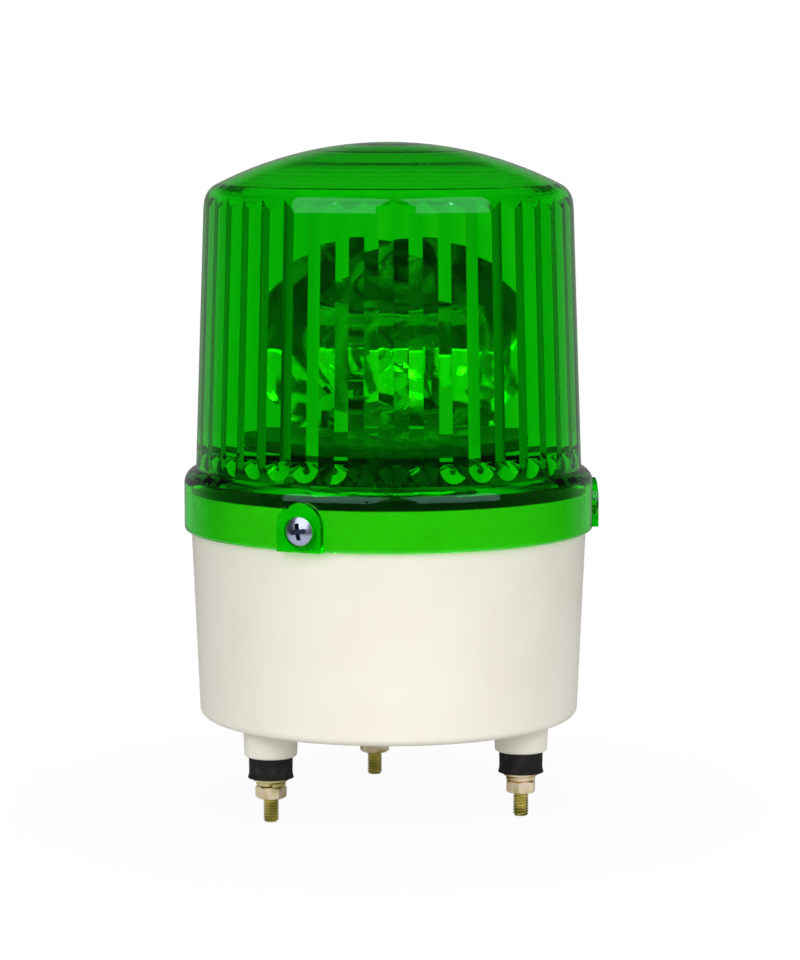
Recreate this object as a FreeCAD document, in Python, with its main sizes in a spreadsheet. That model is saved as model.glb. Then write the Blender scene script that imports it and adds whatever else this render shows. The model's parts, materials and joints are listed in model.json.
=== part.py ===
import FreeCAD, Part
import math
import os
import re
import Sketcher
from FreeCAD import Placement, Rotation, Vector

# Rotating beacon: a fluted lens on a tapered base, with a geared turntable that carries
# a chromed dish round a fixed bulb. Millimetres, +Z up, origin on the axis at the stud tips.
# The dish faces -Y, the rear stud is on +Y and one lens screw is on +X.

# Driving dimensions: name, value, meaning
DIMENSIONS = [
    # Mounting hardware
    ("stud_circle", 37.5, "radius of the circle through the studs"),
    ("stud_count", 3, "studs, feet and lens screws round the axis"),
    ("stud_radius", 2.0, "outside of the free stud thread"),
    ("stud_neck", 1.7, "thread core inside nut, washers and foot"),
    ("stud_chamfer", 0.5, "bevel at the stud tip"),
    ("stud_head_radius", 4.0, "stud head inside the base"),
    ("stud_head_height", 2.4, "stud head inside the base"),
    ("nut_bottom", 6.2, "free thread below the nut"),
    ("nut_height", 3.2, "hex nut"),
    ("nut_flats", 7.0, "hex nut across flats"),
    ("nut_face", 3.35, "radius of the nut's flat face"),
    ("nut_bevel", 0.45, "depth of the bevel at the nut's corners"),
    ("lock_washer_height", 1.4, "spring washer as fitted"),
    ("lock_washer_radius", 3.8, "spring washer outside"),
    ("lock_washer_gap", 0.9, "split in the spring washer"),
    ("flat_washer_height", 0.8, "flat washer"),
    ("flat_washer_radius", 4.5, "flat washer outside"),
    ("washer_bore", 2.15, "hole in both washers"),
    ("bush_height", 5.5, "rubber foot"),
    ("bush_radius", 5.6, "rubber foot at its waist"),
    ("bush_waist", 2.2, "height of the waist above the lower edge"),
    ("bush_flare", 0.3, "rubber foot spread at its lower edge"),
    ("slack", 0.05, "radial room where pieces slip over each other"),
    ("drill_room", 0.2, "radial room of a drilled hole round its screw"),
    # Base housing
    ("foot_radius", 7.1, "moulded foot under the base"),
    ("foot_draft", 0.3, "foot narrows by this much to its tip"),
    ("foot_round", 0.8, "edge of the foot"),
    ("base_bottom", 24.7, "underside of the base"),
    ("base_bottom_radius", 49.6, "base just above its lower edge"),
    ("base_round", 2.0, "lower edge of the base"),
    ("base_rim_radius", 51.6, "base inside the lens skirt"),
    ("base_taper_top", 74.2, "height where the tapered wall ends"),
    ("base_rim_top", 84.0, "rim that carries the gasket"),
    ("base_wall", 2.2, "wall"),
    ("base_floor", 2.5, "floor"),
    ("screw_boss_radius", 4.0, "boss behind each lens screw"),
    ("screw_boss_reach", 44.2, "inner face of the screw boss, from the axis"),
    ("post_circle", 39.0, "radius of the circle through the chassis posts"),
    ("post_radius", 4.0, "chassis post"),
    ("post_rib", 1.8, "thickness of the web from post to wall"),
    # Cable grommet
    ("cable_bore", 3.2, "hole for the supply cable"),
    ("grommet_neck", 5.0, "grommet where it passes the floor"),
    ("grommet_flange", 7.0, "grommet flanges"),
    ("grommet_lip", 1.8, "height of each flange"),
    # Lens
    ("skirt_bottom", 73.6, "lower edge of the skirt"),
    ("skirt_radius", 53.35, "outside of the skirt"),
    ("skirt_bore", 51.75, "inside of the skirt"),
    ("skirt_round", 0.8, "lower edge of the skirt"),
    ("shoulder_round", 4.2, "curve of the shoulder above the skirt"),
    ("shoulder_width", 3.08, "how far the shoulder leads in from skirt to wall"),
    ("shoulder_height", 3.6, "height of the shoulder"),
    ("shoulder_top", 89.7, "height where the shoulder meets the wall"),
    ("lens_top_radius", 47.85, "outside of the wall at its top"),
    ("lens_wall_top", 158.7, "height where the wall turns into the dome"),
    ("band_bottom", 156.8, "lower edge of the band at the top of the wall"),
    ("band_lean", 0.14, "how far that band leans in from the wall"),
    ("lens_wall", 2.2, "thickness of wall and dome"),
    ("corner_round", 6.0, "bend from wall to dome"),
    ("dome_edge", 45.2, "radius where the bend meets the dome"),
    ("dome_top", 173.9, "highest point"),
    ("dome_sphere", 97.0, "radius of the dome's sphere"),
    ("dome_step", 0.6, "height of the ring steps under the dome"),
    ("ring_pitch", 9.5, "radial width of each ring under the dome"),
    ("flute_count", 40, "ridges round the inside of the wall"),
    ("flute_depth", 1.4, "height of each ridge"),
    ("flute_root", 0.3, "how far a ridge is sunk into the wall"),
    ("flute_valley", 0.05, "height of the valley between two ridges"),
    ("flute_bottom", 95.0, "height where the round feet of the ridges start"),
    ("flute_top", 157.0, "height of the ridge roots at the top"),
    ("flute_end", 160.0, "height where the ridges end inside the corner"),
    ("roof_edge", 42.9, "radius where the inner corner meets the dome"),
    ("pad_half_width", 6.0, "U-shaped pad round each lens screw"),
    ("pad_rise", 1.2, "centre of the pad's round top above the screw"),
    ("pad_face", 54.65, "outer face of the pad, from the axis"),
    ("screw_recess", 1.4, "depth of the recess that takes the head"),
    ("screw_recess_radius", 3.8, "recess that takes the head"),
    ("screw_height", 78.8, "height of the lens screws"),
    ("screw_head_radius", 3.65, "lens screw head"),
    ("screw_head_height", 2.1, "lens screw head"),
    ("screw_edge", 1.1, "straight edge under the crown of the head"),
    ("screw_radius", 1.75, "lens screw shank"),
    ("screw_length", 8.3, "lens screw below its head"),
    ("gasket_bore", 48.7, "inside of the gasket"),
    ("gasket_top", 87.2, "underside of the shoulder"),
    # Chassis
    ("chassis_bottom", 78.0, "underside of the chassis plate"),
    ("chassis_thick", 2.0, "chassis plate"),
    ("chassis_radius", 43.4, "chassis plate"),
    ("chassis_rim", 1.2, "width and height of the turned-up edge"),
    ("small_screw", 1.4, "shank of the chassis, motor and dish screws"),
    ("small_head", 2.8, "head radius of those screws"),
    ("small_head_height", 1.7, "head height of those screws"),
    ("small_length", 7.0, "length of the chassis screws"),
    # Lamp
    ("lamp_flange_radius", 13.0, "foot of the lamp post"),
    ("lamp_flange_top", 82.5, "top of that foot"),
    ("lamp_post_radius", 9.0, "lamp post"),
    ("lamp_post_top", 104.0, "mouth of the lamp post"),
    ("lamp_bore", 7.65, "socket in the lamp post"),
    ("lamp_bore_bottom", 88.0, "floor of the socket"),
    ("spigot_radius", 5.9, "threaded spigot below the lamp post"),
    ("spigot_bottom", 73.0, "lower end of the spigot"),
    ("wire_bore", 2.5, "wire hole up the lamp post"),
    ("post_nut_flats", 16.0, "nut on the spigot"),
    ("post_nut_height", 3.5, "nut on the spigot"),
    ("slot_width", 2.4, "bayonet slot"),
    ("slot_bottom", 99.6, "lower end of the bayonet slot"),
    ("slot_reach", 3.6, "end of the slot's turn, from its middle"),
    ("slot_turn", 2.9, "height of the slot's turn"),
    ("clip_groove_radius", 8.4, "groove for the retaining ring"),
    ("clip_height", 0.8, "retaining ring"),
    ("clip_radius", 10.6, "retaining ring outside"),
    ("clip_opening", 5.0, "width of the gap in the retaining ring"),
    ("contact_height", 2.0, "insulating disc in the socket"),
    ("contact_stem", 1.5, "stem of the contact plunger"),
    ("contact_head", 2.6, "head of the contact plunger"),
    ("contact_head_height", 1.2, "head of the contact plunger"),
    ("cap_radius", 7.5, "bulb cap"),
    ("cap_top", 105.0, "upper edge of the bulb cap"),
    ("cap_pip", 1.0, "solder contact under the cap"),
    ("pin_height", 101.0, "bayonet pins"),
    ("pin_radius", 1.0, "bayonet pins"),
    ("pin_reach", 8.7, "ends of the bayonet pins, from the axis"),
    ("glass_radius", 9.5, "bulb at its widest"),
    ("glass_top", 129.4, "top of the bulb"),
    ("glass_neck", 7.0, "bulb at the cap"),
    ("glass_wall", 0.7, "bulb glass"),
    ("stem_radius", 3.0, "glass stem inside the bulb"),
    ("stem_top", 112.0, "top of the glass stem"),
    ("wire_radius", 0.3, "filament and its supports"),
    ("filament_height", 121.5, "filament, at the focus of the dish"),
    ("filament_bend", 0.8, "bend between support and filament"),
    ("support_half", 2.4, "half the distance between the supports"),
    # Turntable
    ("thrust_washer_height", 0.5, "washer under the turntable"),
    ("lift_room", 0.05, "end play of the turntable"),
    ("bush_outside", 10.95, "bearing bush"),
    ("hub_bore", 11.0, "turntable bore that takes the bush"),
    ("hub_radius", 14.0, "turntable hub"),
    ("table_radius", 29.0, "turntable disc"),
    ("table_bottom", 94.4, "underside of the disc"),
    ("table_top", 97.5, "top of the disc"),
    ("table_round", 0.5, "bevel on the disc's edges"),
    ("gear_bottom", 84.2, "underside of the gear rim"),
    ("gear_top", 88.2, "top of the gear rim"),
    ("gear_rim", 2.7, "width of the gear rim inside the teeth"),
    ("gear_web", 2.0, "web between hub and gear rim"),
    ("gear_module", 1.0, "size of the teeth"),
    ("gear_teeth", 48, "teeth under the turntable"),
    ("pinion_teeth", 12, "teeth on the motor pinion"),
    ("pressure_angle", 20.0, "degrees"),
    ("backlash", 0.12, "play along the pitch circle"),
    ("tooth_addendum", 0.9, "tooth height outside the pitch circle, in modules"),
    ("tooth_dedendum", 1.25, "tooth height inside the pitch circle, in modules"),
    ("top_washer_radius", 14.0, "washer above the turntable"),
    ("top_washer_height", 0.6, "washer above the turntable"),
    # Reflector
    ("dish_radius", 28.0, "rim of the dish"),
    ("dish_focus", 12.0, "distance from focus to the back of the dish"),
    ("dish_wall", 1.4, "thickness of the dish"),
    ("dish_bottom", 100.2, "flat lower edge of the dish"),
    ("dish_notch", 10.5, "radius cleared round the lamp"),
    ("dish_notch_top", 114.0, "top of the cleared space"),
    ("rib_half_width", 4.0, "half the rib behind the dish"),
    ("rib_back", 15.6, "back of the rib at its shoulder, from the axis"),
    ("rib_shoulder", 112.0, "height where the rib runs into the dish"),
    ("washer_room", 0.4, "room between the dish's foot and the washer"),
    ("foot_plate_half", 11.0, "half the width of the dish's foot"),
    ("foot_plate_back", 21.0, "back of the dish's foot"),
    ("foot_plate_front", 10.9, "front of the dish's foot and rib"),
    ("foot_plate_height", 2.0, "dish's foot"),
    ("dish_screw_x", 7.5, "dish screws, to each side"),
    ("dish_screw_y", 17.6, "dish screws, behind the axis"),
    ("dish_screw_length", 4.6, "dish screws below the head"),
    # Motor
    ("motor_radius", 12.0, "motor can"),
    ("motor_bottom", 50.0, "lower end of the motor can"),
    ("motor_round", 1.5, "lower edge of the can"),
    ("motor_boss", 3.5, "raised boss round the shaft"),
    ("motor_boss_height", 1.0, "raised boss round the shaft"),
    ("shaft_radius", 1.0, "motor shaft"),
    ("shaft_bottom", 62.0, "inner end of the shaft"),
    ("shaft_top", 90.0, "free end of the shaft"),
    ("motor_screw_x", 8.0, "motor screws, to each side"),
    ("motor_screw_length", 5.0, "motor screws below the head"),
    ("pinion_bottom", 83.8, "underside of the pinion"),
    ("pinion_top", 88.8, "top of the pinion"),
    # Terminal block
    ("terminal_x", 22.0, "middle of the block"),
    ("terminal_y", 3.0, "middle of the block"),
    ("terminal_length", 24.0, "along X"),
    ("terminal_width", 12.0, "along Y"),
    ("terminal_height", 13.0, "block"),
    ("terminal_pitch", 7.5, "distance between the ways"),
    ("terminal_ways", 3, "wire ways"),
    ("terminal_hole", 1.7, "wire hole"),
    ("terminal_hole_height", 4.5, "wire hole above the floor"),
    ("terminal_well", 2.2, "screw well"),
    ("terminal_well_depth", 5.0, "screw well"),
    ("terminal_screw", 2.0, "clamp screw"),
    ("terminal_screw_height", 3.0, "clamp screw"),
]

doc = FreeCAD.newDocument("rotating_beacon")
sheet = doc.addObject("Spreadsheet::Sheet", "size")
for row, (alias, number, meaning) in enumerate(DIMENSIONS, 1):
    sheet.set(f"A{row}", f"'{meaning}")
    sheet.set(f"B{row}", str(number))
    sheet.setAlias(f"B{row}", alias)
doc.recompute()

ALIASES = re.compile(r"\b(" + "|".join(alias for alias, number, meaning in DIMENSIONS) + r")\b")
FULL_TURN = 360
HALF_TURN = 180
H_AXIS = -1
V_AXIS = -2
CENTRE = 3

# Levels that follow from the driving dimensions
NUT_TOP = "(nut_bottom + nut_height)"
LOCK_WASHER_TOP = f"({NUT_TOP} + lock_washer_height)"
FLAT_WASHER_TOP = f"({LOCK_WASHER_TOP} + flat_washer_height)"
FOOT_TIP = f"({FLAT_WASHER_TOP} + bush_height)"
FLOOR_TOP = "(base_bottom + base_floor)"
RIM_BORE = "(base_rim_radius - base_wall)"
LENS_FOOT = "(skirt_radius - shoulder_width)"
LENS_SLOPE = f"(({LENS_FOOT} - lens_top_radius) / (lens_wall_top - shoulder_top))"
CHASSIS_TOP = "(chassis_bottom + chassis_thick)"
THRUST_TOP = "(lamp_flange_top + thrust_washer_height)"
CONTACT_TOP = "(lamp_bore_bottom + contact_height)"
CAP_BOTTOM = f"({CONTACT_TOP} + contact_head_height + cap_pip)"
CLIP_BOTTOM = "(table_top + lift_room + top_washer_height + slack)"
GEAR_RADIUS = "(gear_module * gear_teeth / 2)"
PINION_RADIUS = "(gear_module * pinion_teeth / 2)"
MOTOR_Y = f"({GEAR_RADIUS} + {PINION_RADIUS})"
GEAR_ROOT = f"({GEAR_RADIUS} - tooth_dedendum * gear_module)"


def lens_bore(height):
    """Inside radius of the lens wall at a height, as an expression."""
    return f"({LENS_FOOT} - ({height} - shoulder_top) * {LENS_SLOPE} - lens_wall)"


def dome_height(radius, sphere):
    """Height of a sphere about the dome's centre at a radius, as an expression."""
    return f"(dome_top - dome_sphere + sqrt({sphere}^2 - ({radius})^2))"


def sized(expression):
    """Point every dimension name in an expression at its cell in the sheet."""
    return ALIASES.sub(r"size.\1", str(expression))


def value(expression):
    """Work out an expression with the sheet's present numbers."""
    return float(sheet.evalExpression(str(expression)))


def new_part(label):
    """Start a sub-part; separate like pieces may share it."""
    body = doc.addObject("PartDesign::Body", label)
    body.Label = label
    body.AllowCompound = True
    return body


def datum(body, role):
    """Find one of a body's own origin planes or axes."""
    return [feature for feature in body.Origin.OriginFeatures if feature.Role == role][0]


def sketch_on(body, name, role, lift="0", turn="0"):
    """Attach an empty sketch to an origin plane, lifted along its normal and turned about it."""
    sketch = body.newObject("Sketcher::SketchObject", name)
    sketch.AttachmentSupport = [(datum(body, role), "")]
    sketch.MapMode = "FlatFace"
    sketch.AttachmentOffset = Placement(Vector(0, 0, value(lift)), Rotation(Vector(0, 0, 1), value(turn)))
    sketch.setExpression("AttachmentOffset.Base.z", sized(lift))
    if turn != "0":
        sketch.setExpression("AttachmentOffset.Rotation.Angle", sized(turn))
    return sketch


def pin_point(sketch, geometry, corner, x, y):
    """Hold a point of a sketch at a pair of expressions."""
    for kind, axis, expression in (("DistanceX", V_AXIS, x), ("DistanceY", H_AXIS, y)):
        if str(expression) == "0":
            sketch.addConstraint(Sketcher.Constraint("PointOnObject", geometry, corner, axis))
        else:
            place = Sketcher.Constraint(kind, geometry, corner, value(expression))
            index = sketch.addConstraint(place)
            sketch.setExpression(f"Constraints[{index}]", sized(expression))


def join(sketch, geometry, corner, other, other_corner):
    """Keep two points of a sketch together."""
    sketch.addConstraint(Sketcher.Constraint("Coincident", geometry, corner, other, other_corner))


def hold_radius(sketch, geometry, radius):
    """Hold the radius of a circle or arc at an expression."""
    index = sketch.addConstraint(Sketcher.Constraint("Radius", geometry, value(radius)))
    sketch.setExpression(f"Constraints[{index}]", sized(radius))


def arc_between(start, end, radius, turns_left):
    """Return the shorter arc of a radius between two points."""
    chord = end - start
    left = Vector(-chord.y, chord.x, 0).normalize()
    reach = math.sqrt(radius ** 2 - (chord.Length / 2) ** 2)
    centre = (start + end) / 2 + left * (reach if turns_left else -reach)
    first, last = (start, end) if turns_left else (end, start)
    angles = [math.atan2(point.y - centre.y, point.x - centre.x) for point in (first, last)]
    return Part.ArcOfCircle(Part.Circle(centre, Vector(0, 0, 1), radius), *angles)


def outline(sketch, corners, closed=True):
    """Draw a chain of lines and arcs through corners given as pairs of expressions.

    A corner may add the radius of the arc that arrives there, and the side it turns to.
    """
    places = [Vector(value(corner[0]), value(corner[1]), 0) for corner in corners]
    spans = []
    for index in range(0 if closed else 1, len(corners)):
        corner = corners[index]
        start = places[index - 1]
        if len(corner) == 2:
            geometry = sketch.addGeometry(Part.LineSegment(start, places[index]), False)
            spans.append((corner, geometry, 1, 2))
            continue
        turns_left = corner[3] == "left"
        arc = arc_between(start, places[index], value(corner[2]), turns_left)
        geometry = sketch.addGeometry(arc, False)
        first, last = (1, 2) if turns_left else (2, 1)
        spans.append((corner, geometry, first, last))
    for number, (corner, geometry, first, last) in enumerate(spans):
        if closed or number > 0:
            join(sketch, spans[number - 1][1], spans[number - 1][3], geometry, first)
        else:
            pin_point(sketch, geometry, first, *corners[0][:2])
        pin_point(sketch, geometry, last, *corner[:2])
        if len(corner) > 2:
            hold_radius(sketch, geometry, corner[2])


def circle(sketch, x, y, radius):
    """Add a circle to a sketch."""
    place = Vector(value(x), value(y), 0)
    geometry = sketch.addGeometry(Part.Circle(place, Vector(0, 0, 1), value(radius)), False)
    pin_point(sketch, geometry, CENTRE, x, y)
    hold_radius(sketch, geometry, radius)


def rectangle(sketch, left, right, low, high):
    """Add a rectangle to a sketch."""
    outline(sketch, [(left, low), (right, low), (right, high), (left, high)])


def centre_line(sketch, start, end):
    """Add a construction line for a revolution to turn about."""
    line = Part.LineSegment(*[Vector(value(x), value(y), 0) for x, y in (start, end)])
    geometry = sketch.addGeometry(line, True)
    pin_point(sketch, geometry, 1, *start)
    pin_point(sketch, geometry, 2, *end)


def turned(body, name, corners, role="XZ_Plane", axis=None, cut=False, lift="0"):
    """Turn a section about Z, or about an axis given by two points of its plane."""
    sketch = sketch_on(body, f"{name}_section", role, lift)
    outline(sketch, corners)
    if axis:
        centre_line(sketch, *axis)
    feature = body.newObject("PartDesign::Groove" if cut else "PartDesign::Revolution", name)
    feature.Profile = sketch
    feature.ReferenceAxis = (sketch, ["Axis0" if axis else "V_Axis"])
    feature.Angle = FULL_TURN
    return feature


def raised(body, name, sketch, length, backwards=False):
    """Pad a sketch."""
    feature = body.newObject("PartDesign::Pad", name)
    feature.Profile = sketch
    feature.Reversed = backwards
    feature.setExpression("Length", sized(length))
    return feature


def sunk(body, name, sketch, length, backwards=False):
    """Cut a sketch into the body against its normal."""
    feature = body.newObject("PartDesign::Pocket", name)
    feature.Profile = sketch
    feature.Reversed = backwards
    feature.setExpression("Length", sized(length))
    return feature


def ring_of(body, name, features, count="stud_count"):
    """Repeat features evenly about Z."""
    pattern = body.newObject("PartDesign::PolarPattern", name)
    pattern.Originals = features
    pattern.Axis = (datum(body, "Z_Axis"), [""])
    pattern.Angle = FULL_TURN
    pattern.setExpression("Occurrences", sized(count))
    body.Tip = pattern
    return pattern


def mirrored(body, name, features, role="YZ_Plane"):
    """Repeat features on the other side of an origin plane."""
    pattern = body.newObject("PartDesign::Mirrored", name)
    pattern.Originals = features
    pattern.MirrorPlane = (datum(body, role), [""])
    body.Tip = pattern
    return pattern


def turned_part(label, corners):
    """Make a sub-part that is a single turned piece on the axis."""
    body = new_part(label)
    turned(body, f"{label}_turning", corners)
    return body


def stud_axis():
    """Axis of the rear stud in the YZ plane."""
    return (("stud_circle", "0"), ("stud_circle", "stud_radius"))


def stud_section(corners):
    """Move a section given from the stud's own axis out to the rear stud."""
    moved = []
    for x, *rest in corners:
        moved.append(("stud_circle" if x == "0" else f"stud_circle + {x}", *rest))
    return moved


def stud_part(label, corners):
    """Make a group of three turned pieces, one on each stud axis."""
    body = new_part(label)
    one = turned(body, f"{label}_turning", stud_section(corners), "YZ_Plane", stud_axis())
    ring_of(body, f"{label}_ring", [one])
    return body


def small_screw(body, name, x, y, seat, length):
    """Turn a pan-head screw that stands on a seat at x and y."""
    shank = f"{x} + small_screw"
    head = f"{x} + small_head"
    section = [
        (x, f"{seat} - {length}"),
        (shank, f"{seat} - {length}"),
        (shank, seat),
        (head, seat),
        (head, f"{seat} + small_head_height / 2"),
        (shank, f"{seat} + small_head_height", "small_head_height", "left"),
        (x, f"{seat} + small_head_height"),
    ]
    return turned(body, name, section, "XZ_Plane", ((x, seat), (x, f"{seat} + {length}")), lift=f"-({y})")


def hexagon(flats, y):
    """Corners of a hexagon on the YZ plane at y."""
    half = f"{flats} / 2"
    corner = f"{flats} / 2 / cos(30)"
    upper, lower = (half, f"-{half}") if y == "0" else (f"{y} + {half}", f"{y} - {half}")
    return [(corner, y), (f"{corner} / 2", upper), (f"-{corner} / 2", upper),
            (f"-{corner}", y), (f"-{corner} / 2", lower), (f"{corner} / 2", lower)]


def ring_section(inner, outer, low, high):
    """Section of a plain ring."""
    return [(inner, low), (outer, low), (outer, high), (inner, high)]


def base_housing():
    """Tapered cup with moulded feet, screw bosses under the rim and posts for the chassis."""
    body = new_part("base_housing")
    turned(body, "base_shell", [
        ("grommet_neck", "base_bottom"),
        ("base_bottom_radius - base_round", "base_bottom"),
        ("base_bottom_radius", "base_bottom + base_round", "base_round", "left"),
        ("base_rim_radius", "base_taper_top"),
        ("base_rim_radius", "base_rim_top"),
        (RIM_BORE, "base_rim_top"),
        (RIM_BORE, "base_taper_top"),
        ("base_bottom_radius - base_wall", f"{FLOOR_TOP} + base_round"),
        ("base_bottom_radius - base_wall - base_round", FLOOR_TOP, "base_round", "right"),
        ("grommet_neck", FLOOR_TOP),
    ])
    foot = turned(body, "base_foot", stud_section([
        ("0", FOOT_TIP),
        ("foot_radius - foot_draft - foot_round", FOOT_TIP),
        ("foot_radius - foot_draft", f"{FOOT_TIP} + foot_round", "foot_round", "left"),
        ("foot_radius", f"{FLOOR_TOP} - base_floor / 2"),
        ("0", f"{FLOOR_TOP} - base_floor / 2"),
    ]), "YZ_Plane", stud_axis())
    drill = sketch_on(body, "base_foot_drill", "XY_Plane", FLOOR_TOP)
    circle(drill, "0", "stud_circle", "stud_neck + slack")
    foot_hole = sunk(body, "base_foot_hole", drill, f"{FLOOR_TOP} - {FOOT_TIP}")
    ring_of(body, "base_feet", [foot, foot_hole])
    boss_end = sketch_on(body, "base_boss_end", "YZ_Plane", "screw_boss_reach")
    circle(boss_end, "0", "screw_height", "screw_boss_radius")
    boss = raised(body, "base_boss", boss_end, f"{RIM_BORE} + base_wall / 2 - screw_boss_reach")
    boss_drill = sketch_on(body, "base_boss_drill", "YZ_Plane", "base_rim_radius + slack")
    circle(boss_drill, "0", "screw_height", "screw_radius + slack")
    boss_hole = sunk(body, "base_boss_hole", boss_drill,
                     "base_rim_radius - screw_boss_reach - base_wall / 4")
    ring_of(body, "base_bosses", [boss, boss_hole])
    post_foot = sketch_on(body, "base_post_foot", "XY_Plane", f"{FLOOR_TOP} - base_floor / 2")
    circle(post_foot, "-post_circle", "0", "post_radius")
    post = raised(body, "base_post", post_foot, f"chassis_bottom - {FLOOR_TOP} + base_floor / 2")
    rib_foot = sketch_on(body, "base_rib_foot", "XY_Plane", FLOOR_TOP)
    rectangle(rib_foot, "-(base_bottom_radius - slack)", "-post_circle", "-post_rib / 2", "post_rib / 2")
    rib = raised(body, "base_rib", rib_foot, f"screw_height - screw_boss_radius - {FLOOR_TOP}")
    post_drill = sketch_on(body, "base_post_drill", "XY_Plane", "chassis_bottom")
    circle(post_drill, "-post_circle", "0", "small_screw + slack")
    post_hole = sunk(body, "base_post_hole", post_drill, "2 * small_length")
    ring_of(body, "base_posts", [post, rib, post_hole])
    return body


def cable_grommet():
    """Rubber ring that grips the base floor round the cable hole."""
    return turned_part("cable_grommet", [
        ("cable_bore", "base_bottom - grommet_lip"),
        ("grommet_flange - grommet_lip / 2", "base_bottom - grommet_lip"),
        ("grommet_flange", "base_bottom - grommet_lip / 2", "grommet_lip / 2", "left"),
        ("grommet_flange", "base_bottom"),
        ("grommet_neck", "base_bottom"),
        ("grommet_neck", FLOOR_TOP),
        ("grommet_flange", FLOOR_TOP),
        ("grommet_flange", f"{FLOOR_TOP} + grommet_lip / 2"),
        ("grommet_flange - grommet_lip / 2", f"{FLOOR_TOP} + grommet_lip", "grommet_lip / 2", "left"),
        ("cable_bore", f"{FLOOR_TOP} + grommet_lip"),
    ])


def mounting_studs():
    """Pan-head screws through the feet; the thread core is drawn where nut and foot grip it."""
    return stud_part("mounting_studs", [
        ("0", "0"),
        ("stud_radius - stud_chamfer", "0"),
        ("stud_radius", "stud_chamfer"),
        ("stud_radius", "nut_bottom"),
        ("stud_neck", "nut_bottom"),
        ("stud_neck", FLOOR_TOP),
        ("stud_head_radius", FLOOR_TOP),
        ("stud_head_radius", f"{FLOOR_TOP} + stud_head_height / 2"),
        ("stud_radius", f"{FLOOR_TOP} + stud_head_height", "stud_head_height", "left"),
        ("0", f"{FLOOR_TOP} + stud_head_height"),
    ])


def hex_nuts():
    """Hex nuts with both faces turned to a bevel."""
    body = new_part("hex_nuts")
    profile = sketch_on(body, "nut_profile", "XY_Plane", "nut_bottom")
    outline(profile, hexagon("nut_flats", "stud_circle"))
    blank = raised(body, "nut_blank", profile, "nut_height")
    bore = sketch_on(body, "nut_bore", "XY_Plane", NUT_TOP)
    circle(bore, "0", "stud_circle", "stud_neck + slack")
    hole = sunk(body, "nut_hole", bore, "nut_height")
    bevels = []
    for name, face, inward in (("lower", "nut_bottom", "+"), ("upper", NUT_TOP, "-")):
        bevels.append(turned(body, f"nut_bevel_{name}", stud_section([
            ("nut_face", face),
            ("nut_flats / 2 / cos(30)", f"{face} {inward} nut_bevel"),
            ("nut_flats / 2 / cos(30)", face),
        ]), "YZ_Plane", stud_axis(), cut=True))
    ring_of(body, "nut_ring", [blank, hole, *bevels])
    return body


def spring_washers():
    """Split lock washers."""
    body = new_part("spring_washers")
    section = ring_section("washer_bore", "lock_washer_radius", NUT_TOP, LOCK_WASHER_TOP)
    ring = turned(body, "lock_washer_ring", stud_section(section), "YZ_Plane", stud_axis())
    # The split slants across the ring on the side that faces away from the axis
    split = sketch_on(body, "lock_washer_split", "XZ_Plane", "-stud_circle")
    lean = "lock_washer_gap"
    outline(split, [
        (f"-{lean} - lock_washer_gap / 2", NUT_TOP),
        (f"-{lean} + lock_washer_gap / 2", NUT_TOP),
        (f"{lean} + lock_washer_gap / 2", LOCK_WASHER_TOP),
        (f"{lean} - lock_washer_gap / 2", LOCK_WASHER_TOP),
    ])
    cut = sunk(body, "lock_washer_cut", split, "lock_washer_radius + slack")
    ring_of(body, "lock_washer_set", [ring, cut])
    return body


def flat_washers():
    """Plain washers under the rubber feet."""
    return stud_part("flat_washers", ring_section(
        "washer_bore", "flat_washer_radius", LOCK_WASHER_TOP, FLAT_WASHER_TOP))


def rubber_feet():
    """Rubber bushes, waisted and spread a little at the lower edge."""
    return stud_part("rubber_feet", [
        ("washer_bore", FLAT_WASHER_TOP),
        ("bush_radius + bush_flare", FLAT_WASHER_TOP),
        ("bush_radius", f"{FLAT_WASHER_TOP} + bush_waist", "bush_height", "right"),
        ("bush_radius + bush_flare / 4", FOOT_TIP),
        ("washer_bore", FOOT_TIP),
    ])


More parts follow.
